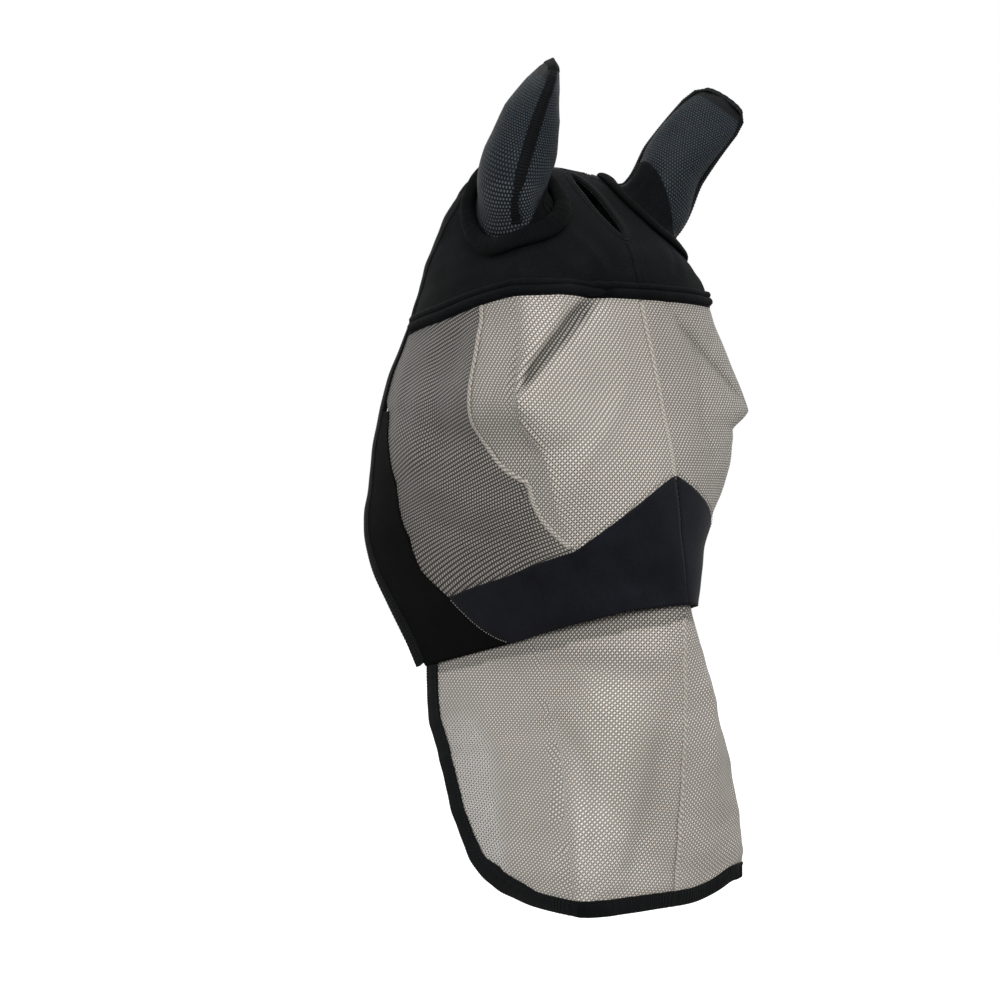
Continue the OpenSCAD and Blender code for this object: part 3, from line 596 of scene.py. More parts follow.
ear_net, tree, shader = new_material("knitted_net_black")
uv = add_node(tree, "UVMap", uv_map="cloth")
cells = add_node(tree, "VectorMath", {0: uv.outputs[0], "Scale": 1 / NET_PITCH}, operation="SCALE")
near = add_node(tree, "Math", {0: hole_distance(tree, cells.outputs[0], 0),
                                         1: hole_distance(tree, cells.outputs[0], 0.5)}, operation="MINIMUM")
solid = add_node(tree, "Math", {0: near.outputs[0], 1: NET_HOLE}, operation="GREATER_THAN")
part = add_node(tree, "Math", {0: solid.outputs[0], 1: 1 - NET_OPEN}, operation="MAXIMUM")
strand = add_node(tree, "MapRange", {"Value": near.outputs[0], "From Min": NET_HOLE - 0.05,
                                     "From Max": NET_HOLE + 0.1})
hem = add_node(tree, "Attribute", attribute_name="hem")
covered = add_node(tree, "Math", {0: strand.outputs[0], 1: hem.outputs["Fac"]}, operation="MAXIMUM")
# painted light: where a hole is not open it is a paler blue grey than the strands, standing in for light
# seen through the net
colour = add_node(tree, "Mix", {0: covered.outputs[0], 6: linear("#414c56"), 7: linear("#06080a")},
                  data_type="RGBA")
bump = add_node(tree, "Bump", {"Height": strand.outputs[0], "Strength": 0.8, "Distance": 0.4 * MM})
alpha = add_node(tree, "Math", {0: part.outputs[0], 1: hem.outputs["Fac"]}, operation="MAXIMUM")
set_inputs(tree, shader, {"Base Color": colour.outputs[2], "Alpha": alpha.outputs[0],
                          "Normal": bump.outputs[0], "Roughness": 0.6, "Specular IOR Level": 0.15,
                          "Sheen Weight": 0.03})

# %% [markdown]
# ## Black cloths
# The crown and jaw are a brushed stretch knit, soft and almost without shine. The noseband
# is a smoother, tighter knit with a faint navy cast. Both are rows of fine ribs that cross
# a little, which a wave on the UV map draws: the ribs are under 1 mm on the real cloth and
# drawn at 1.6 mm. Sheen gives the pale edge that short fibres catch.

# %% Black cloths
def knit(name, dark, light, rib, roughness, sheen, depth):
    """A ribbed knit: rib is the distance between ribs in mm, and depth the bump's."""
    material, tree, shader = new_material(name)
    uv = add_node(tree, "UVMap", uv_map="cloth")
    turn = add_node(tree, "VectorMath", {0: uv.outputs[0], "Scale": math.tau / (rib * MM)},
                    operation="SCALE")
    wave = add_node(tree, "VectorMath", {0: turn.outputs[0]}, operation="SINE")
    xy = add_node(tree, "SeparateXYZ", {0: wave.outputs[0]})
    stitch = add_node(tree, "Math", {0: xy.outputs[0], 1: xy.outputs[1]}, operation="MULTIPLY")
    loops = add_node(tree, "Math", {0: stitch.outputs[0], 1: xy.outputs[0]}, operation="ADD")
    where = add_node(tree, "TexCoord")
    fibres = add_node(tree, "TexNoise", {"Vector": where.outputs["Object"], "Scale": 900.0, "Detail": 2.0})
    patches = add_node(tree, "TexNoise", {"Vector": where.outputs["Object"], "Scale": 22.0, "Detail": 4.0})
    mixed = add_node(tree, "Math", {0: fibres.outputs[0], 1: patches.outputs[0]}, operation="MULTIPLY")
    share = add_node(tree, "MapRange", {"Value": mixed.outputs[0], "From Min": 0.15, "From Max": 0.42})
    colour = add_node(tree, "Mix", {0: share.outputs[0], 6: linear(dark), 7: linear(light)},
                      data_type="RGBA")
    bump = add_node(tree, "Bump", {"Height": loops.outputs[0], "Strength": 0.5, "Distance": depth * MM})
    set_inputs(tree, shader, {"Base Color": colour.outputs[2], "Normal": bump.outputs[0],
                              "Roughness": roughness, "Specular IOR Level": 0.07,
                              "Sheen Weight": sheen, "Sheen Roughness": 0.5})
    return material


crown_cloth = knit("brushed_knit_black", "#030405", "#121518", 1.6, 0.8, 0.01, 0.12)
nose_cloth = knit("smooth_knit_black", "#0d0e13", "#1a1b22", 1.3, 0.6, 0.02, 0.05)
jaw_cloth = knit("brushed_knit_jaw", "#020302", "#080a08", 1.6, 0.85, 0.0, 0.12)
pad_cloth = knit("soft_knit_pad", "#020303", "#0a0c0e", 1.8, 0.85, 0.01, 0.15)

# %% [markdown]
# ## Bindings, straps and thread
# Edges are wrapped in a ribbed polyester tape: its ribs run across the tape, so the UV's
# long direction carries them. The same tape, wider, makes the straps. The hook and loop
# patches are moulded hooks and brushed nylon loops, which read as a dense grain. Thread is
# twisted polyester: black everywhere, but for one pale seam beside the noseband.

# %% Tape, straps and thread
def ribbed_tape(name, dark, light, rib, roughness):
    """Tape with ribs across it; its UV runs along the tape first."""
    material, tree, shader = new_material(name)
    uv = add_node(tree, "UVMap", uv_map="cloth")
    xy = add_node(tree, "SeparateXYZ", {0: uv.outputs[0]})
    turn = add_node(tree, "Math", {0: xy.outputs[0], 1: math.tau / (rib * MM)}, operation="MULTIPLY")
    wave = add_node(tree, "Math", {0: turn.outputs[0]}, operation="SINE")
    share = add_node(tree, "MapRange", {"Value": wave.outputs[0], "From Min": -1.0})
    colour = add_node(tree, "Mix", {0: share.outputs[0], 6: linear(dark), 7: linear(light)},
                      data_type="RGBA")
    bump = add_node(tree, "Bump", {"Height": wave.outputs[0], "Strength": 0.6, "Distance": 0.2 * MM})
    set_inputs(tree, shader, {"Base Color": colour.outputs[2], "Normal": bump.outputs[0],
                              "Roughness": roughness, "Specular IOR Level": 0.08, "Sheen Weight": 0.01})
    return material


def grained(name, dark, light, grain_mm, roughness, depth):
    """A dense grain in the piece's own space, for hook tape, loop tape and thread."""
    material, tree, shader = new_material(name)
    where = add_node(tree, "TexCoord")
    grain = add_node(tree, "TexVoronoi", {"Vector": where.outputs["Object"],
                                                    "Scale": 1 / (grain_mm * MM)})
    colour = add_node(tree, "Mix", {0: grain.outputs["Distance"], 6: linear(light), 7: linear(dark)},
                      data_type="RGBA")
    bump = add_node(tree, "Bump", {"Height": grain.outputs["Distance"], "Strength": 0.8,
                                             "Distance": depth * MM}, invert=True)
    set_inputs(tree, shader, {"Base Color": colour.outputs[2], "Normal": bump.outputs[0],
                              "Roughness": roughness, "Specular IOR Level": 0.2})
    return material


binding_tape = ribbed_tape("ribbed_tape_black", "#020303", "#101214", 2.0, 0.65)
strap_tape = ribbed_tape("ribbed_strap_black", "#030404", "#0f1113", 2.4, 0.6)
hook_tape = grained("moulded_hooks_black", "#08090a", "#24272b", 1.5, 0.4, 0.5)
loop_tape = grained("brushed_loops_black", "#0b0c0d", "#1c1e20", 0.9, 0.9, 0.3)
black_thread = grained("thread_black", "#0c0d0e", "#25282b", 0.6, 0.6, 0.1)
pale_thread = grained("thread_pale_grey", "#8d8a83", "#c9c6be", 0.6, 0.6, 0.1)

# %% [markdown]
# ## Crown
# The crown covers the forehead between the brow and the poll, and each half has a round
# hole for the ear. So its grid is a ring: a goes once round, and b goes from the hole's edge
# out to the panel's outline. The outline is listed as stretches between corners, and the
# hole is a true circle on the surface, found by a few Newton steps.

# %% Seam lines
UNDER_BINDING = 0.985   # how far round a panel reaches, where the rear binding covers its edge
CENTRE_U = 0.002        # where a panel starts beside the centre line
FACE_END, FLAP_END = 7.0, 5.0
BAND_T, BROW_T, PEAK_T = 0.55, 3.0, 5.0
EYE_FOOT, JAW_FOOT = (0.405, 6.0), (0.81, 6.5)
BROW = np.array([(0, 3.0), (0.62, 3.0), (0.78, 3.18), (1, 3.3)])
EYE_SEAM = np.array([(3.0, 0.67), (4.4, 0.68), (4.9, 0.64), (5.4, 0.55), (6.0, 0.405)])
JAW_FRONT = np.array([(3.3, 0.985), (3.9, 0.985), (4.1, 0.935), (4.4, 0.914), (5.0, 0.864),
                      (5.8, 0.83), (6.2, 0.835), (6.5, 0.81)])
EAR_U, EAR_T, EAR_HOLE_R = 0.48, 1.5, 40
SLOT_T, SLOT_LENGTH, SLOT_W = 1.5, 96, 22


def brow(u):
    return np.interp(np.abs(u), BROW[:, 0], BROW[:, 1])


def eye_seam(t):
    return np.interp(t, EYE_SEAM[:, 0], EYE_SEAM[:, 1])


def jaw_front(t):
    return np.interp(t, JAW_FRONT[:, 0], JAW_FRONT[:, 1])


def hood_foot(u):
    """The hood's bottom edge, which hangs lower towards the rear."""
    return 6.86 + 0.25 * np.clip((np.abs(u) - 0.3) / 0.7, 0, 1)


def noseband_top(u):
    return np.interp(u, [0, EYE_FOOT[0], JAW_FOOT[0]], [PEAK_T, EYE_FOOT[1], JAW_FOOT[1]])


def along_u(skin, u, t, step=0.004):
    return (skin(u + step, t) - skin(u - step, t)) / (2 * step)


def along_t(skin, u, t, step=0.004):
    return (skin(u, t + step) - skin(u, t - step)) / (2 * step)


def shift(skin, u, t, move):
    """The change in u and t that moves a surface point by the vector move."""
    du, dt = along_u(skin, u, t), along_t(skin, u, t)
    a, b, c = (du * du).sum(-1), (du * dt).sum(-1), (dt * dt).sum(-1)
    x, y = (move * du).sum(-1), (move * dt).sum(-1)
    d = a * c - b * b
    return (x * c - y * b) / d, (y * a - x * b) / d


ear_u, ear_t = np.array(EAR_U), np.array(EAR_T)
ear_mid = bare_face(ear_u, ear_t)
ear_out = outward(bare_face, ear_u, ear_t)
ear_back = along_u(bare_face, ear_u, ear_t)
ear_back /= np.linalg.norm(ear_back)
ear_down = np.cross(ear_out, ear_back)


def ear_circle(angle, radius):
    """u and t of points round the ear's base, radius in mm from its middle."""
    spoke = np.cos(angle)[..., None] * ear_back + np.sin(angle)[..., None] * ear_down
    goal = ear_mid + np.asarray(radius)[..., None] * MM * spoke
    u, t = np.full(angle.shape, EAR_U), np.full(angle.shape, EAR_T)
    for _ in range(6):
        du, dt = shift(bare_face, u, t, goal - bare_face(u, t))
        u, t = u + du, t + dt
    return u, t


def base_angle(points):
    d = points - ear_mid
    return np.arctan2(d @ ear_down, d @ ear_back)


def u_at(x, t):
    """The u that lies x mm beside the centre line."""
    half_w, rear_x, square = (row_at(FACE_ROWS, t)[..., k] for k in (4, 5, 7))
    last = np.pi - np.arcsin(np.minimum(0.999, (rear_x / half_w) ** (square / 2)))
    return np.arcsin((x / half_w) ** (square / 2)) / last


t_per_mm = MM / np.linalg.norm(along_t(bare_face, np.array(0.001), np.array(SLOT_T)))
slot_half_t = SLOT_LENGTH / 2 * t_per_mm


def slot_x(t):
    """Half width of the forelock slot, in mm."""
    f = np.clip((t - SLOT_T) / slot_half_t, -1, 1)
    return SLOT_W / 2 * np.cos(f * np.pi / 2)


# %% Crown panels
def stretch(start, end, count):
    return np.linspace(start, end, count, endpoint=False)


def crown_outline():
    """u and t round a crown panel, from behind the ear down, forward, up and back."""
    slot_t = stretch(BROW_T, BAND_T, 70)
    brow_u = stretch(UNDER_BINDING, CENTRE_U, 66)
    parts = [
        (np.full(28, UNDER_BINDING), stretch(EAR_T, brow(1.0), 28)),
        (brow_u, brow(brow_u)),
        (u_at(slot_x(slot_t) + 0.15, slot_t), slot_t),
        (stretch(CENTRE_U, UNDER_BINDING, 44), np.full(44, BAND_T)),
        (np.full(16, UNDER_BINDING), stretch(BAND_T, EAR_T, 16)),
    ]
    return np.concatenate([p[0] for p in parts]), np.concatenate([p[1] for p in parts])


rim_u, rim_t = crown_outline()
edge_u, edge_t = ear_circle(base_angle(bare_face(rim_u, rim_t)), np.full(rim_u.shape, EAR_HOLE_R))
CROWN_ROUND = len(rim_u)


def crown_region(a, b):
    k = np.rint(a * CROWN_ROUND).astype(int) % CROWN_ROUND
    return edge_u[k] + (rim_u - edge_u)[k] * b, edge_t[k] + (rim_t - edge_t)[k] * b


def crown_shape(side):
    def shape(a, b):
        u, t = crown_region(a, b)
        u = side * u
        return face(u, t) + 0.5 * MM * outward(face, u, t), flat_face.place(u, t)
    return shape


SIDES = {"right": 1, "left": -1}
for word, side in SIDES.items():
    piece = sew("crown_cloth_" + word, crown_shape(side), CROWN_ROUND, 26, crown_cloth, wall=1.3, ring=True)
    belongs(piece, "hood", "crown_cloth", "crown_" + word)
print("crown:", CROWN_ROUND, "points round each half")


# %% Poll band
def band_region(a, b):
    return UNDER_BINDING * (2 * a - 1), b * (BAND_T + 0.04)


poll_band = sew("poll_band_cloth", panel(face, band_region, rise=1.1), 90, 12, crown_cloth, wall=1.2)
belongs(poll_band, "hood", "poll_band", "poll_band")

# %% [markdown]
# ## Face, noseband and jaw
# Each side of the face is four panels: front and rear eye mesh, divided by the seam that
# forms the dart, then the smooth noseband, which peaks on the centre line, and the jaw panel
# along the rear edge. The mesh runs a few millimetres in under the black cloths, as it does
# in a real seam. The black cloths lie half a millimetre further out.

# %% Eye mesh
TUCK = 0.05     # how far the mesh runs in under the black cloths, in t


def eye_row(b):
    return BROW_T - TUCK + b * (EYE_FOOT[1] + TUCK - BROW_T + TUCK)


def eye_front_region(a, b):
    near = BROW_T - TUCK + b * (PEAK_T - BROW_T + 2 * TUCK)
    far = eye_row(b)
    u = 0.001 + a * (eye_seam(far) - 0.001)
    return u, np.maximum(near + a * (far - near), brow(u) - TUCK)


def eye_rear_region(a, b):
    near = eye_row(b)
    top = brow(UNDER_BINDING) - TUCK
    far = top + b * (JAW_FOOT[1] + TUCK - top)
    seam = eye_seam(near)
    u = seam + a * (jaw_front(far) + 0.012 - seam)
    return u, np.maximum(near + a * (far - near), brow(u) - TUCK)


# painted shade: the horse's left front panel is painted darker than the right, in place of the dark inside
# seen through it
FRONT_SHADE = {"right": 0.05, "left": 0.22}     # the left panel has the dark inside behind it
for word, side in SIDES.items():
    marks = fold_marks(eye_front_region, side, FACE_FOLDS, 0.3, FRONT_SHADE[word])
    front = sew("eye_mesh_front_net_" + word, panel(face, eye_front_region, side), 70, 84, face_mesh,
                wall=0.5, marks=marks)
    # painted shade: the rear panels, which turn away from the light, are painted much darker
    marks = fold_marks(eye_rear_region, side, FACE_FOLDS, 0.15, 0.72)
    rear = sew("eye_mesh_rear_net_" + word, panel(face, eye_rear_region, side, grain=28 * side), 44, 84,
               face_mesh, wall=0.5, marks=marks)
    belongs(front, "hood", "face_mesh", "eye_mesh_front_" + word)
    belongs(rear, "hood", "face_mesh", "eye_mesh_rear_" + word)


# %% Noseband and jaw panels
def noseband_region(a, b):
    u = CENTRE_U + a * (JAW_FOOT[0] - CENTRE_U)
    top = noseband_top(u)
    return u, top + b * (hood_foot(u) - top)


JAW_TOP = 4.15


def jaw_region(a, b):
    t = JAW_TOP + b * (FACE_END - JAW_TOP)
    front = np.where(t > JAW_FOOT[1], JAW_FOOT[0], jaw_front(t))
    u = front + a * (UNDER_BINDING - front)
    return u, t + b**3 * (hood_foot(u) - FACE_END)


nosebands, jaws = {}, {}
for word, side in SIDES.items():
    piece = sew("noseband_cloth_" + word, panel(face, noseband_region, side, rise=0.9), 80, 36, nose_cloth,
                wall=1.2)
    nosebands[word] = belongs(piece, "hood", "noseband_cloth", "noseband_" + word)
    piece = sew("jaw_cloth_" + word, panel(face, jaw_region, side, rise=0.9), 24, 80, jaw_cloth, wall=1.2)
    jaws[word] = belongs(piece, "hood", "jaw_cloth", "jaw_panel_" + word)

# %% [markdown]
# ## Nose flap
# The flap hangs open below the noseband, one panel a side, joined down the middle. Behind
# its top runs a strip of black tape. The real flap can be lifted at its seam.

# %% Nose mesh and its backing tape
# the flap's edge: share of the way to the middle of the hem, u and t
NOSE_EDGE = np.array([(0, 1.0, 0.20), (0.48, 1.0, 4.4), (0.54, 0.985, 4.73), (0.58, 0.95, 4.92),
                      (0.62, 0.90, 5.0), (0.68, 0.80, 5.03), (1, 0.0, 5.0)])


def nose_region(a, b):
    t = b * (FLAP_END - 0.015)
    edge = np.interp(t, NOSE_EDGE[:6, 2], NOSE_EDGE[:6, 1])
    return 0.001 + a * (edge - 0.011), t


def nose_marks(side):
    """The edge is stretched open by its binding and is darkened; tape backs the top, which is darkened, and
    the folds get painted shade.
    """
    def marks(a, b):
        u, t = nose_region(a if side > 0 else 1 - a, b)
        edge = np.clip((u - 0.885) / 0.03, 0, 1) * np.clip(t - (0.4 if side > 0 else 4), 0, 1)
        backed_to = np.interp(u, [0, 0.5, 0.94], [0.24, 0.32, 0.40])
        dip = np.clip(-fold_heights(FLAP_FOLDS, side * u, t) / (9 * MM), 0, 1)
        # painted shade in the flap's folds; the tape-backed top and the open edge are darkened too
        tape_edge_and_fold_shade = np.where(t < backed_to, 0.6, np.maximum(0.4 * dip, 0.38 * edge))
        return {"clear": 0.3 + 0.7 * edge, "backed": tape_edge_and_fold_shade}
    return marks


for word, side in SIDES.items():
    piece = sew("nose_mesh_net_" + word, panel(flap, nose_region, side, grain=8 * side), 96, 116, face_mesh,
                wall=0.5, marks=nose_marks(side))
    belongs(piece, FLAP_BEND, "nose_mesh", "nose_mesh_" + word)


def backing_region(a, b):
    return 0.93 * (2 * a - 1), 0.02 + b * 0.36


backing = sew("nose_top_backing", panel(flap, backing_region, rise=-1.4), 120, 8, binding_tape, wall=1.0)
belongs(backing, FLAP_BEND, "binding_tape", "nose_top_tape")

# %% [markdown]
# ## Strips: trims, tapes and rolls
# A strip follows a route on the surface with one section all the way, so its grid is a
# tube: a runs along the route and b round the section. A section is a list of places
# (sideways, outward) in mm. For a binding it is a long fold round the cloth's edge, and
# small ribs lift it every couple of millimetres, so that the ribs also show on the outline.

# %% Strip builder
def route_frames(skin, route, a):
    """u, t and the inward step in u and t for one mm, at shares a of a route."""
    step = 1e-3
    u, t = route(a)
    u0, t0 = route(np.clip(a - step, 0, 1))
    u1, t1 = route(np.clip(a + step, 0, 1))
    run = skin(u1, t1) - skin(u0, t0)
    run /= np.linalg.norm(run, axis=-1, keepdims=True)
    inward = np.cross(outward(skin, u, t), run)
    return u, t, *shift(skin, u, t, inward * MM)


def strip(skin, route, section_at, length, side=1):
    """A shape for sew: section_at(a, b) gives places (sideways, outward) in mm."""
    def shape(a, b):
        u, t, du, dt = route_frames(skin, route, a)
        sideways, rise = section_at(a, b)
        u, t = side * (u + sideways * du), t + sideways * dt
        places = skin(u, t) + (rise * MM)[..., None] * outward(skin, u, t)
        return places, np.stack([a * length, sideways * MM], -1)
    return shape


def closed_section(points):
    """A section as a function of b, from its corner list; it ends where it starts."""
    points = np.array(points + points[:1], float)
    places = np.linspace(0, 1, len(points))
    return lambda b: (np.interp(b, places, points[:, 0]), np.interp(b, places, points[:, 1]))


def soft_route(route, reach):
    """A route with its corners rounded, by averaging it over a stretch."""
    def softened(a):
        nearby = [route(np.clip(a + d, 0, 1)) for d in np.linspace(-reach, reach, 9)]
        return tuple(np.mean([place[k] for place in nearby], axis=0) for k in (0, 1))
    return softened


def route_length(skin, route):
    u, t = route(np.linspace(0, 1, 400))
    return float(np.linalg.norm(np.diff(skin(u, t), axis=0), axis=1).sum())


RIB_MM = 2.4


def binding_section(width, wall, length, rib=0.22):
    """A binding folded round an edge: width mm on each face, with ribs along it."""
    half = [(width, 0.9), (width - 0.6, wall), (width - 2.2, wall + 0.15), (width - 3.0, wall - 0.35),
            (width - 3.8, wall + 0.1), (width * 0.45, wall + 0.35), (1.5, wall + 0.45), (-0.2, wall + 0.3),
            (-1.4, wall * 0.55)]
    points = half + [(-1.8, 0)] + [(s, -n) for s, n in reversed(half)]
    outline = closed_section(points)
    count = len(points)
    ribs_on = np.array([0.2 if s > width - 1 else 1.0 for s, n in points + points[:1]])
    ribs = length / (RIB_MM * MM)

    def section_at(a, b):
        sideways, rise = outline(b)
        size = np.interp(b, np.linspace(0, 1, count + 1), ribs_on)
        wave = rib * size * (0.5 + 0.5 * np.sin(a * ribs * math.tau))
        edge = np.clip(1 - sideways / 2, 0, 1)
        return sideways - wave * edge, rise + np.sign(rise) * wave
    return section_at, count


def bound_edge(name, skin, route, width, wall, material, side=1, ring=False):
    """A binding along a route, with four steps to each rib."""
    length = route_length(skin, route)
    section_at, count = binding_section(width, wall, length)
    steps = int(length / (RIB_MM * MM)) * 4
    shape = strip(skin, route, section_at, length, side)
    return sew(name, shape, steps, count, material, tube=True, ring=ring)


# %% Rear trims
CORNER = 0.12   # how soon the trim turns the corner behind the poll, as a share of u


def rear_route(a):
    """From the middle of the poll out to the corner, then down the rear edge."""
    knots = [0, 0.085, 0.098, 0.108, 0.125, 1]
    u = np.interp(a, knots, [0.0, 1 - CORNER, 0.955, 0.99, 1.0, 1.0])
    t = np.interp(a, knots, [0.0, 0.0, 0.03, 0.10, 0.24, 7.09])
    return u, t


for word, side in SIDES.items():
    trim = bound_edge("rear_trim_" + word, face, rear_route, 14, 2.2, binding_tape, side)
    belongs(trim, "hood", "binding_tape", "rear_binding_" + word)


# %% Nose trim
def nose_route(a):
    """Down the right edge, round its corner, along the hem and up the left edge."""
    half = np.minimum(a, 1 - a) * 2
    u = np.interp(half, NOSE_EDGE[:, 0], NOSE_EDGE[:, 1])
    t = np.interp(half, NOSE_EDGE[:, 0], NOSE_EDGE[:, 2])
    return np.where(a < 0.5, 1, -1) * u, t


nose_trim = bound_edge("nose_trim", flap, soft_route(nose_route, 0.012), 14, 1.9, binding_tape)
belongs(nose_trim, FLAP_BEND, "binding_tape", "nose_binding")


# %% Forelock slot trim
def slot_route(a):
    angle = -a * math.tau
    t = SLOT_T - slot_half_t * np.cos(angle)
    x = SLOT_W / 2 * np.sin(angle)
    return np.sign(x) * u_at(np.abs(x) + 1e-6, t), t


slot_trim = bound_edge("forelock_slot_trim", face, slot_route, 7, 1.9, binding_tape, ring=True)
belongs(slot_trim, "hood", "binding_tape", "forelock_binding")


# %% Brow roll
def brow_route(a):
    u = (1 - 2 * a) * 0.925
    return u, brow(u) - 0.02


def brow_section(a, b):
    """Two soft rolls side by side, 16 mm in all, with a stitched groove between them."""
    outline = closed_section([(0.4, 0.4), (0.2, 2.6), (1.6, 4.9), (4.2, 5.6), (6.6, 4.8), (7.9, 3.3),
                              (9.2, 4.7), (11.6, 5.4), (14.2, 4.7), (15.6, 2.6), (15.4, 0.4), (8, 0.4)])
    sideways, rise = outline(b)
    pucker = np.sin(a * 420) * 0.12 + np.sin(a * 61 + 1) * 0.25 + np.sin(a * 23) * 0.3
    return sideways, rise * (1 + 0.1 * pucker)


brow_roll = sew("brow_roll", strip(face, brow_route, brow_section, route_length(face, brow_route)), 420, 24,
                crown_cloth, tube=True)
belongs(brow_roll, "hood", "crown_cloth", "brow_hem_right", "brow_hem_left")


# %% Seam tapes
def tape_section(width, wall, lift):
    """A flat tape with soft edges and a low ridge down its middle."""
    h = width / 2
    return closed_section([(-h, lift), (-h, lift + wall * 0.6), (-h * 0.7, lift + wall),
                           (-h * 0.2, lift + wall), (0, lift + wall * 1.3), (h * 0.2, lift + wall),
                           (h * 0.7, lift + wall), (h, lift + wall * 0.6), (h, lift), (0, lift)])


def seam_tape(name, skin, route, width, wall, lift, material, side=1):
    length = route_length(skin, route)
    outline = tape_section(width, wall, lift)
    steps = max(40, int(length / (3 * MM)))
    shape = strip(skin, route, lambda a, b: outline(b), length, side)
    return sew(name, shape, steps, 20, material, tube=True)


def eye_seam_route(a):
    t = BROW_T + 0.02 + a * (EYE_FOOT[1] - BROW_T - 0.03)
    return eye_seam(t), t


def centre_route(t0, t1):
    return lambda a: (np.full(np.shape(a), 1e-4), t0 + a * (t1 - t0))


for word, side in SIDES.items():
    route = soft_route(eye_seam_route, 0.05)
    tape = seam_tape("eye_seam_fold_" + word, face, route, 5, 0.7, 0.3, seam_mesh, side)
    belongs(tape, "hood", "mesh_seam", "eye_seam_tape_" + word)
route = centre_route(BROW_T + 0.02, PEAK_T + 0.02)
ridge = seam_tape("face_centre_seam", face, route, 5, 0.7, 0.3, seam_mesh)
belongs(ridge, "hood", "mesh_seam", "face_seam")
route = centre_route(SLOT_T + slot_half_t + 0.1, BROW_T - 0.2)
crown_line = seam_tape("crown_centre_seam", face, route, 6, 0.8, 1.2, crown_cloth)
belongs(crown_line, "hood", "crown_cloth", "crown_seam")
nose_line = seam_tape("nose_centre_seam", flap, centre_route(0.2, 4.8), 5, 0.7, 0.3, seam_mesh)
belongs(nose_line, FLAP_BEND, "mesh_seam", "nose_seam")

# %% [markdown]
# ## Ears
# An ear is a net sock of two panels with a binding up both side seams and over the tip. Its
# foot follows the hole in the crown, and higher up its section is an ellipse that gets
# flatter towards the tip. The horse's right ear leans forward, and its left one outward.

# %% Ear shape
EAR_LENGTH = 130
LEANS = {"right": np.array([0, -53, 120.0]), "left": np.array([-66, -45, 112.0])}
TWIST = {"right": math.radians(12), "left": 0.0}
STRETCH = {"right": 1.0, "left": 1.06}
BOW = {"right": -5, "left": -4}     # how far an ear's middle bends, in mm
EAR_S = np.array([0, 0.35, 0.65, 0.85, 0.95, 1])
EAR_W = {"right": np.array([35, 36, 34.5, 31, 24.5, 15]), "left": np.array([34, 31, 29.5, 28.5, 25.5, 19])}
EAR_D = np.array([35, 32.5, 25, 15, 8.5, 4.5])
FOOT_R = EAR_HOLE_R + 1.5


def smooth(f):
    c = np.clip(f, 0, 1)
    return c * c * (3 - 2 * c)


def ear_axes(word):
    """The ear's own axis, and its wide and deep directions."""
    axis = LEANS[word] / np.linalg.norm(LEANS[word])
    heading = math.radians(225) + TWIST[word]
    flat = np.array([math.cos(heading), math.sin(heading), 0])
    wide = flat - (flat @ axis) * axis
    wide /= np.linalg.norm(wide)
    return axis, wide, np.cross(axis, wide)


def ear_point(word, angle, s, grow=0.0):
    """Points of the right-hand ear shape; the left ear is mirrored afterwards."""
    axis, wide, deep = ear_axes(word)
    spoke = np.cos(angle)[:, None] * wide + np.sin(angle)[:, None] * deep
    foot_r = FOOT_R + (EAR_W[word][0] - FOOT_R) * smooth(s / 0.10)
    u, t = ear_circle(base_angle(ear_mid + spoke), foot_r + grow)
    tucked = -1.5 * (1 - smooth(s / 0.03))
    foot = bare_face(u, t) + ((EAR_LENGTH * s + tucked) * MM)[:, None] * ear_out
    bend = (BOW[word] * MM * np.sin(np.pi * np.clip(s, 0, 1)))[:, None] * (deep if word == "right" else wide)
    half_w, half_d = np.interp(s, EAR_S, EAR_W[word]) + grow, np.interp(s, EAR_S, EAR_D) + grow
    along = (STRETCH[word] * EAR_LENGTH * MM * s)[:, None] * axis
    round_it = (half_w * MM * np.cos(angle))[:, None] * wide + (half_d * MM * np.sin(angle))[:, None] * deep
    upper = ear_mid + along + round_it + bend
    return foot + smooth(s / 0.45)[:, None] * (upper - foot)


def to_side(points, side):
    return points * (side, 1, 1)


def ear_wrinkle(angle, s):
    """Creases that run up from the gathered foot, in mm."""
    gathers = 1.1 * np.sin(angle * 5 + 4 * s) * np.exp(-((s - 0.16) / 0.14) ** 2)
    return gathers + 0.9 * np.sin(3 * angle + 9 * s)


def ear_panel(word, side, start):
    def shape(a, b):
        a = a if side > 0 else 1 - a
        angle, s = math.radians(start) + a * math.pi, 1 - b
        round_it = (angle - math.radians(start + 90)) * 30 * MM
        places = to_side(ear_point(word, angle, s, ear_wrinkle(angle, s)), side)
        return places, np.stack([round_it, s * EAR_LENGTH * MM], -1)
    return shape


def ear_marks(a, b):
    """The net is turned in twice at the tip and gathered at the foot."""
    s = 1 - b
    return {"hem": np.maximum(np.clip((s - 0.91) / 0.02, 0, 1), 0.55 * np.clip((0.2 - s) / 0.15, 0, 1))}


def ear_bend(word, side):
    axis, _, _ = ear_axes(word)
    start = Vector(to_side(ear_mid + 0.004 * axis, side))
    end = Vector(to_side(ear_mid + 0.040 * axis, side))
    return "hood", "ear_" + word, start, end


for word, side in SIDES.items():
    for part, start in (("front", 0), ("back", 180)):
        name = f"ear_{part}_net_{word}"
        piece = sew(name, ear_panel(word, side, start), 40, 60, ear_net, wall=0.4, marks=ear_marks)
        node = f"ear_{part}_{word}"
        belongs(piece, ear_bend(word, side), "ear_net", node)


# %% Ear trims
EAR_TRIM_W = 6.5
EAR_TRIM_FROM = 0.07


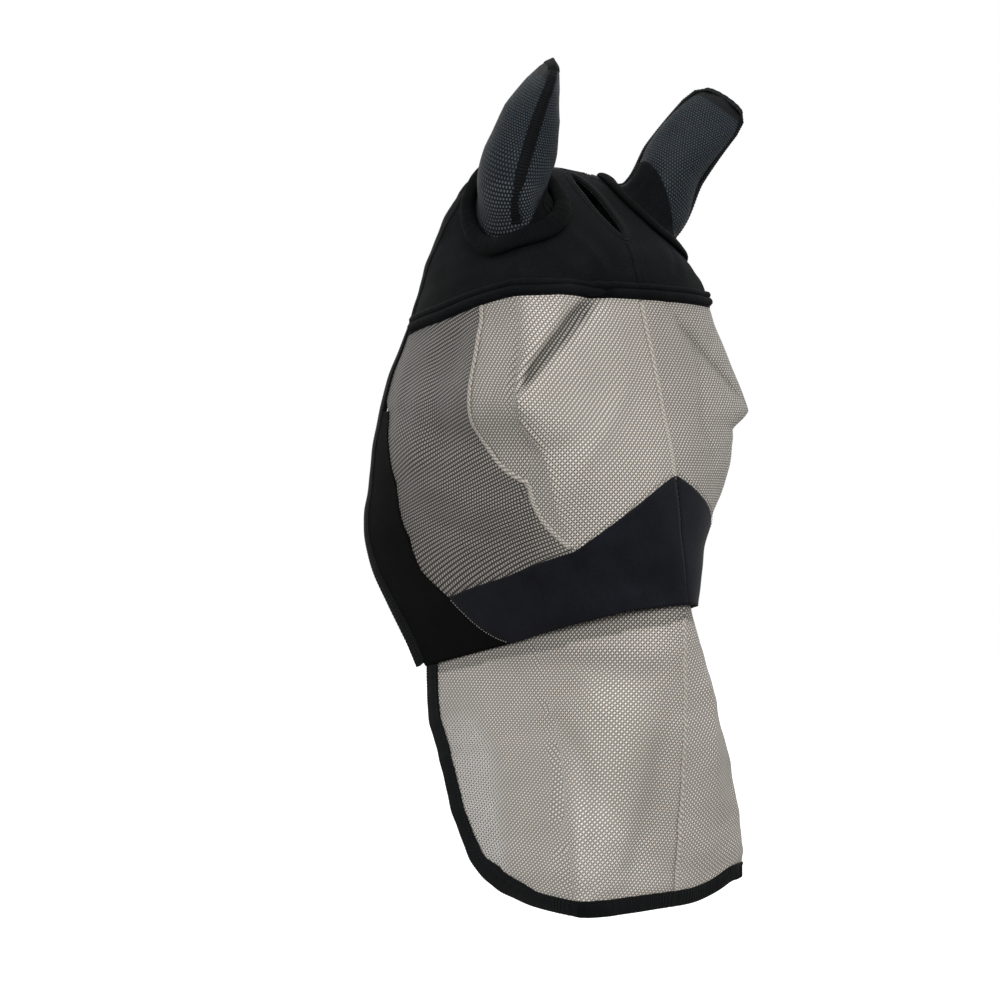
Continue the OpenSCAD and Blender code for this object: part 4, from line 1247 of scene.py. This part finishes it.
def ear_trim(word, side):
    """Up one side seam, over the tip and down the other, as one strip."""
    axis, wide, deep = ear_axes(word)
    outline = closed_section([(-1, 0.3), (-0.95, 1.0), (-0.6, 1.6), (-0.25, 1.9), (0, 2.6), (0.25, 1.9),
                              (0.6, 1.6), (0.95, 1.0), (1, 0.3), (0.5, 0.3), (0, 0.4), (-0.5, 0.3)])
    tip_half = EAR_W[word][-1]

    def shape(a, b):
        sideways, rise = outline(b)
        climb = 0.46
        up, over = a < climb, (a >= climb) & (a <= 1 - climb)
        s = np.where(up, a / climb, np.where(over, 1.0, (1 - a) / climb))
        s = EAR_TRIM_FROM + s * (1 - EAR_TRIM_FROM)
        middle = np.where(a < 0.5, 0.0, math.pi)
        reach = EAR_TRIM_W / (np.interp(s, EAR_S, EAR_D) + 6)
        direction = np.where(a < 0.5, 1, -1)
        wave = 0.2 * np.sin(a * 260 / RIB_MM * math.tau)
        sides = ear_point(word, middle + direction * sideways * reach, s, rise + wave)
        turn = np.pi * (a - climb) / (1 - 2 * climb)
        tip = ear_mid + STRETCH[word] * EAR_LENGTH * MM * axis
        across = (tip_half * np.cos(turn))[:, None] * MM * wide
        lift = ((3 + rise + wave) * np.sin(turn))[:, None] * MM * axis
        fold_over = (np.abs(sideways) * 3.5)[:, None] * MM * axis
        bow = (sideways * (EAR_D[-1] + 1.2))[:, None] * MM * deep - fold_over
        top = tip + across * (1 + (rise + wave)[:, None] / tip_half) + lift + bow
        places = np.where(over[:, None], top, sides)
        return to_side(places, side), np.stack([a * 0.26, sideways * EAR_TRIM_W * MM], -1)
    return shape


for word, side in SIDES.items():
    trim = sew("ear_trim_" + word, ear_trim(word, side), 420, 24, binding_tape, tube=True)
    belongs(trim, ear_bend(word, side), "binding_tape", "ear_binding_" + word)


# %% Ear cuffs
CUFF_TALL, CUFF_LOW = 40, 3     # mm, at the middle of the poll side and opposite it


def ear_cuff(word, side):
    """The crown's cloth is gathered up the ear's foot, most on the side of the poll."""
    def shape(a, b):
        angle = a * math.tau
        reach = np.clip(np.cos((angle - math.radians(130)) * 0.62), 0, 1) ** 2
        reach = np.where(np.abs(angle - math.radians(130)) < 2.5, reach, 0)
        top = (CUFF_LOW + (CUFF_TALL - CUFF_LOW) * reach) / EAR_LENGTH
        s = (1 - b) * top
        gather = 0.7 * np.sin(angle * 19 + 2 * np.sin(angle * 4)) * (0.4 + b)
        places = to_side(ear_point(word, angle, s, 1.5 + gather), side)
        return places, np.stack([angle * 36 * MM, s * EAR_LENGTH * MM], -1)
    return shape


for word, side in SIDES.items():
    piece = sew("ear_cuff_" + word, ear_cuff(word, side), 180, 14, crown_cloth, wall=0.8, ring=True)
    belongs(piece, ear_bend(word, side), "crown_cloth")


# %% Ear collars
COLLAR_W, COLLAR_H = 19, 10
COLLAR_R = EAR_HOLE_R + 1.5 + COLLAR_W / 2


def collar_shape(side):
    """A soft roll round the ear, gathered by the seam inside it."""
    height = COLLAR_H if side > 0 else COLLAR_H * 0.65

    def shape(a, b):
        angle, turn = a * math.tau, b * math.tau
        gather = np.sin(angle * 34 + 1.5 * np.sin(angle * 5)) * 0.15 + np.sin(angle * 13 + 2) * 0.3
        inner = 0.5 - 0.5 * np.cos(turn)
        puff = 1 + 0.05 * np.sin(angle * 3 + 0.5) + 0.05 * gather * inner
        u, t = ear_circle(angle, COLLAR_R + COLLAR_W / 2 * np.cos(turn) * puff)
        rise = 1.3 + height / 2 * (1 + np.sin(turn)) * puff + 0.4 * gather * np.maximum(np.sin(turn), 0)
        u = side * u
        places = face(u, t) + (rise * MM)[:, None] * outward(bare_face, u, t)
        return places, np.stack([angle * COLLAR_R * MM, turn * COLLAR_W / 4 * MM], -1)
    return shape


for word, side in SIDES.items():
    collar = sew("ear_collar_roll_" + word, collar_shape(side), 300, 28, pad_cloth, tube=True, ring=True)
    belongs(collar, "hood", "padded_collar", "ear_collar_" + word)

# %% [markdown]
# ## Straps
# Two straps close the mask behind the jaw. Each is sewn to the right rear edge, crosses over
# to the left, turns round that edge and grips a patch of loops on its outside. A strap is a
# ribbon through a few points, with its wall and bound edges as one closed section.

# %% Straps
STRAP_LAP, HOOK_LENGTH = 44, 22
STRAP_RISE = 3.3
STRAPS = {"throat": (5.0, 50), "jaw": (6.3, 40)}


def on_left(mm, t, n):
    """A point on the left side, mm in from the rear edge and n mm off the surface."""
    per_mm = MM / np.linalg.norm(along_u(bare_face, np.array(0.97), np.array(t)))
    u = np.array(1 - mm * per_mm)
    p = bare_face(u, np.array(t)) + n * MM * outward(bare_face, u, np.array(t))
    return p * (-1, 1, 1)


def strap_line(t, n):
    """Points down the middle of one line of a strap, n mm above its inner face."""
    right = bare_face(np.array(1.0), np.array(t))
    turn = on_left(-4, t, STRAP_RISE)
    back = right[1] + (6.0 + n) * MM
    points = []
    for f in np.linspace(0, 1, 9):
        x = right[0] + 3 * MM + (-2 * right[0] - 7 * MM) * f
        close = 3 * MM * max(0, 1 - f / 0.12)       # sewn close in behind the binding
        points.append((x, back - close + 9 * MM * math.sin(math.pi * f), right[2]))
    points.append((turn[0] + n * MM, turn[1] + n * MM, turn[2]))
    points += [tuple(on_left(f * STRAP_LAP, t, STRAP_RISE + n)) for f in (0.07, 0.3, 0.53, 0.77, 1)]
    return np.array(points)


def smooth_line(points, shares):
    """Places on a rounded curve through a list of points."""
    lengths = np.linalg.norm(np.diff(points, axis=0), axis=1)
    knots = np.concatenate([[0], np.cumsum(lengths)]) / lengths.sum()
    i = np.clip(np.searchsorted(knots, shares, side="right") - 1, 0, len(points) - 2)
    return smooth_curve(points, i, (shares - knots[i]) / (knots[i + 1] - knots[i]))


def strap_shape(t_mid, width):
    step = MM / np.linalg.norm(along_t(bare_face, np.array(0.98), np.array(t_mid)))
    outline = closed_section([(-1, 0.5), (-0.97, 1.2), (-0.9, 1.6), (-0.8, 1.35), (-0.4, 1.45), (0, 1.5),
                              (0.4, 1.45), (0.8, 1.35), (0.9, 1.6), (0.97, 1.2), (1, 0.5), (0.97, 0.1),
                              (0.8, 0), (0, 0), (-0.8, 0), (-0.97, 0.1)])
    lanes = np.linspace(-1, 1, 9)
    inner = [strap_line(t_mid + lane * width / 2 * step, 0) for lane in lanes]
    outer = [strap_line(t_mid + lane * width / 2 * step, 1.6) for lane in lanes]

    def shape(a, b):
        sideways, rise = outline(b)
        lane = (sideways + 1) / 2 * (len(lanes) - 1)
        k = np.clip(np.floor(lane).astype(int), 0, len(lanes) - 2)
        f = (lane - k)[:, None]
        low = np.array([smooth_line(line, a) for line in inner])
        high = np.array([smooth_line(line, a) for line in outer])
        n = np.arange(len(a))
        under = low[k, n] * (1 - f) + low[k + 1, n] * f
        over = high[k, n] * (1 - f) + high[k + 1, n] * f
        places = under + (over - under) * (rise / 1.6)[:, None]
        return places, np.stack([a * 0.19, sideways * width / 2 * MM], -1)
    return shape


def patch_region(t_mid, width, start, end):
    """A patch between two distances from the rear edge, in mm."""
    per_u = MM / np.linalg.norm(along_u(bare_face, np.array(0.97), np.array(t_mid)))
    per_t = MM / np.linalg.norm(along_t(bare_face, np.array(0.9), np.array(t_mid)))
    return lambda a, b: (1 - (end + (start - end) * a) * per_u, t_mid + (b - 0.5) * (width - 6) * per_t)


for word, (t_mid, width) in STRAPS.items():
    strap = sew(word + "_strap_tape", strap_shape(t_mid, width), 110, 32, strap_tape, tube=True)
    belongs(strap, word + "_closure", "strap_cloth", word + "_strap")
    hooks_at = patch_region(t_mid, width, STRAP_LAP - HOOK_LENGTH - 2, STRAP_LAP - 2)
    hooks = sew(word + "_hook_tape", panel(face, hooks_at, -1, rise=2.8), 16, 24, hook_tape, wall=0.8)
    belongs(hooks, word + "_closure", "hook_tape", word + "_hook_patch")
    loops_at = patch_region(t_mid, width, 16, STRAP_LAP + 2)
    loops = sew(word + "_loop_tape", panel(face, loops_at, -1, rise=1.9), 16, 24, loop_tape, wall=0.8)
    belongs(loops, "hood", "loop_tape", word + "_loop_patch")

# %% [markdown]
# ## Stitches
# Stitches are what tells sewn cloth from moulded rubber. Each is a small grain of thread
# laid on its seam, made from a low icosphere stretched along the route. Twenty faces are
# plenty at this size, because there are hundreds of them.

# %% Stitch rows
def stitch_row(bm, skin, route, sideways, rise, pitch, length, side=1, radius=0.28):
    """Adds a row of stitches beside a route, sizes in mm."""
    a = np.linspace(0, 1, 500)
    u, t, du, dt = route_frames(skin, route, a)
    u, t = side * (u + sideways * du), t + sideways * dt
    normals = outward(skin, u, t)
    points = skin(u, t) + rise * MM * normals
    travelled = np.concatenate([[0], np.cumsum(np.linalg.norm(np.diff(points, axis=0), axis=1))])
    for distance in np.arange(pitch * MM / 2, travelled[-1], pitch * MM):
        ends = [distance - length * MM / 2, distance + length * MM / 2]
        low, high = (Vector([np.interp(e, travelled, points[:, k]) for k in range(3)]) for e in ends)
        middle = (low + high) / 2
        turn = (high - low).to_track_quat("X", "Z").to_matrix().to_4x4()
        size = Matrix.Diagonal((length / 2 * MM, radius * MM, radius * MM, 1))
        grain = Matrix.Translation(middle) @ turn @ size
        bmesh.ops.create_icosphere(bm, subdivisions=1, radius=1, matrix=grain)


def stitches(name, rows, material, body, slot):
    bm = bmesh.new()
    for row in rows:
        stitch_row(bm, **row)
    for f in bm.faces:
        f.smooth = True
    print(name, "has", len(bm.faces) // 20, "stitches")
    return belongs(to_object(name, bm, material), body, slot)


def noseband_top_route(a):
    u = 0.004 + a * (JAW_FOOT[0] - 0.008)
    return u, noseband_top(u)


def jaw_seam_route(a):
    return np.full(np.shape(a), JAW_FOOT[0]), JAW_FOOT[1] + 0.02 + a * (FACE_END - JAW_FOOT[1])


for word, side in SIDES.items():
    pale = [dict(skin=face, route=jaw_seam_route, sideways=0, rise=1.65, pitch=3.0, length=2.2, side=side)]
    stitches("jaw_seam_stitches_" + word, pale, pale_thread, "hood", "jaw_cloth")
    dark = [
        dict(skin=face, route=rear_route, sideways=11, rise=2.0, pitch=4.0, length=2.8, side=side),
        dict(skin=face, route=noseband_top_route, sideways=-3, rise=1.6, pitch=3.6, length=2.4, side=side),
    ]
    stitches("hood_stitches_" + word, dark, black_thread, "hood", "binding_tape")

flap_rows = [dict(skin=flap, route=nose_route, sideways=11, rise=1.7, pitch=4.0, length=2.8)]
stitches("nose_trim_stitches", flap_rows, black_thread, FLAP_BEND, "binding_tape")
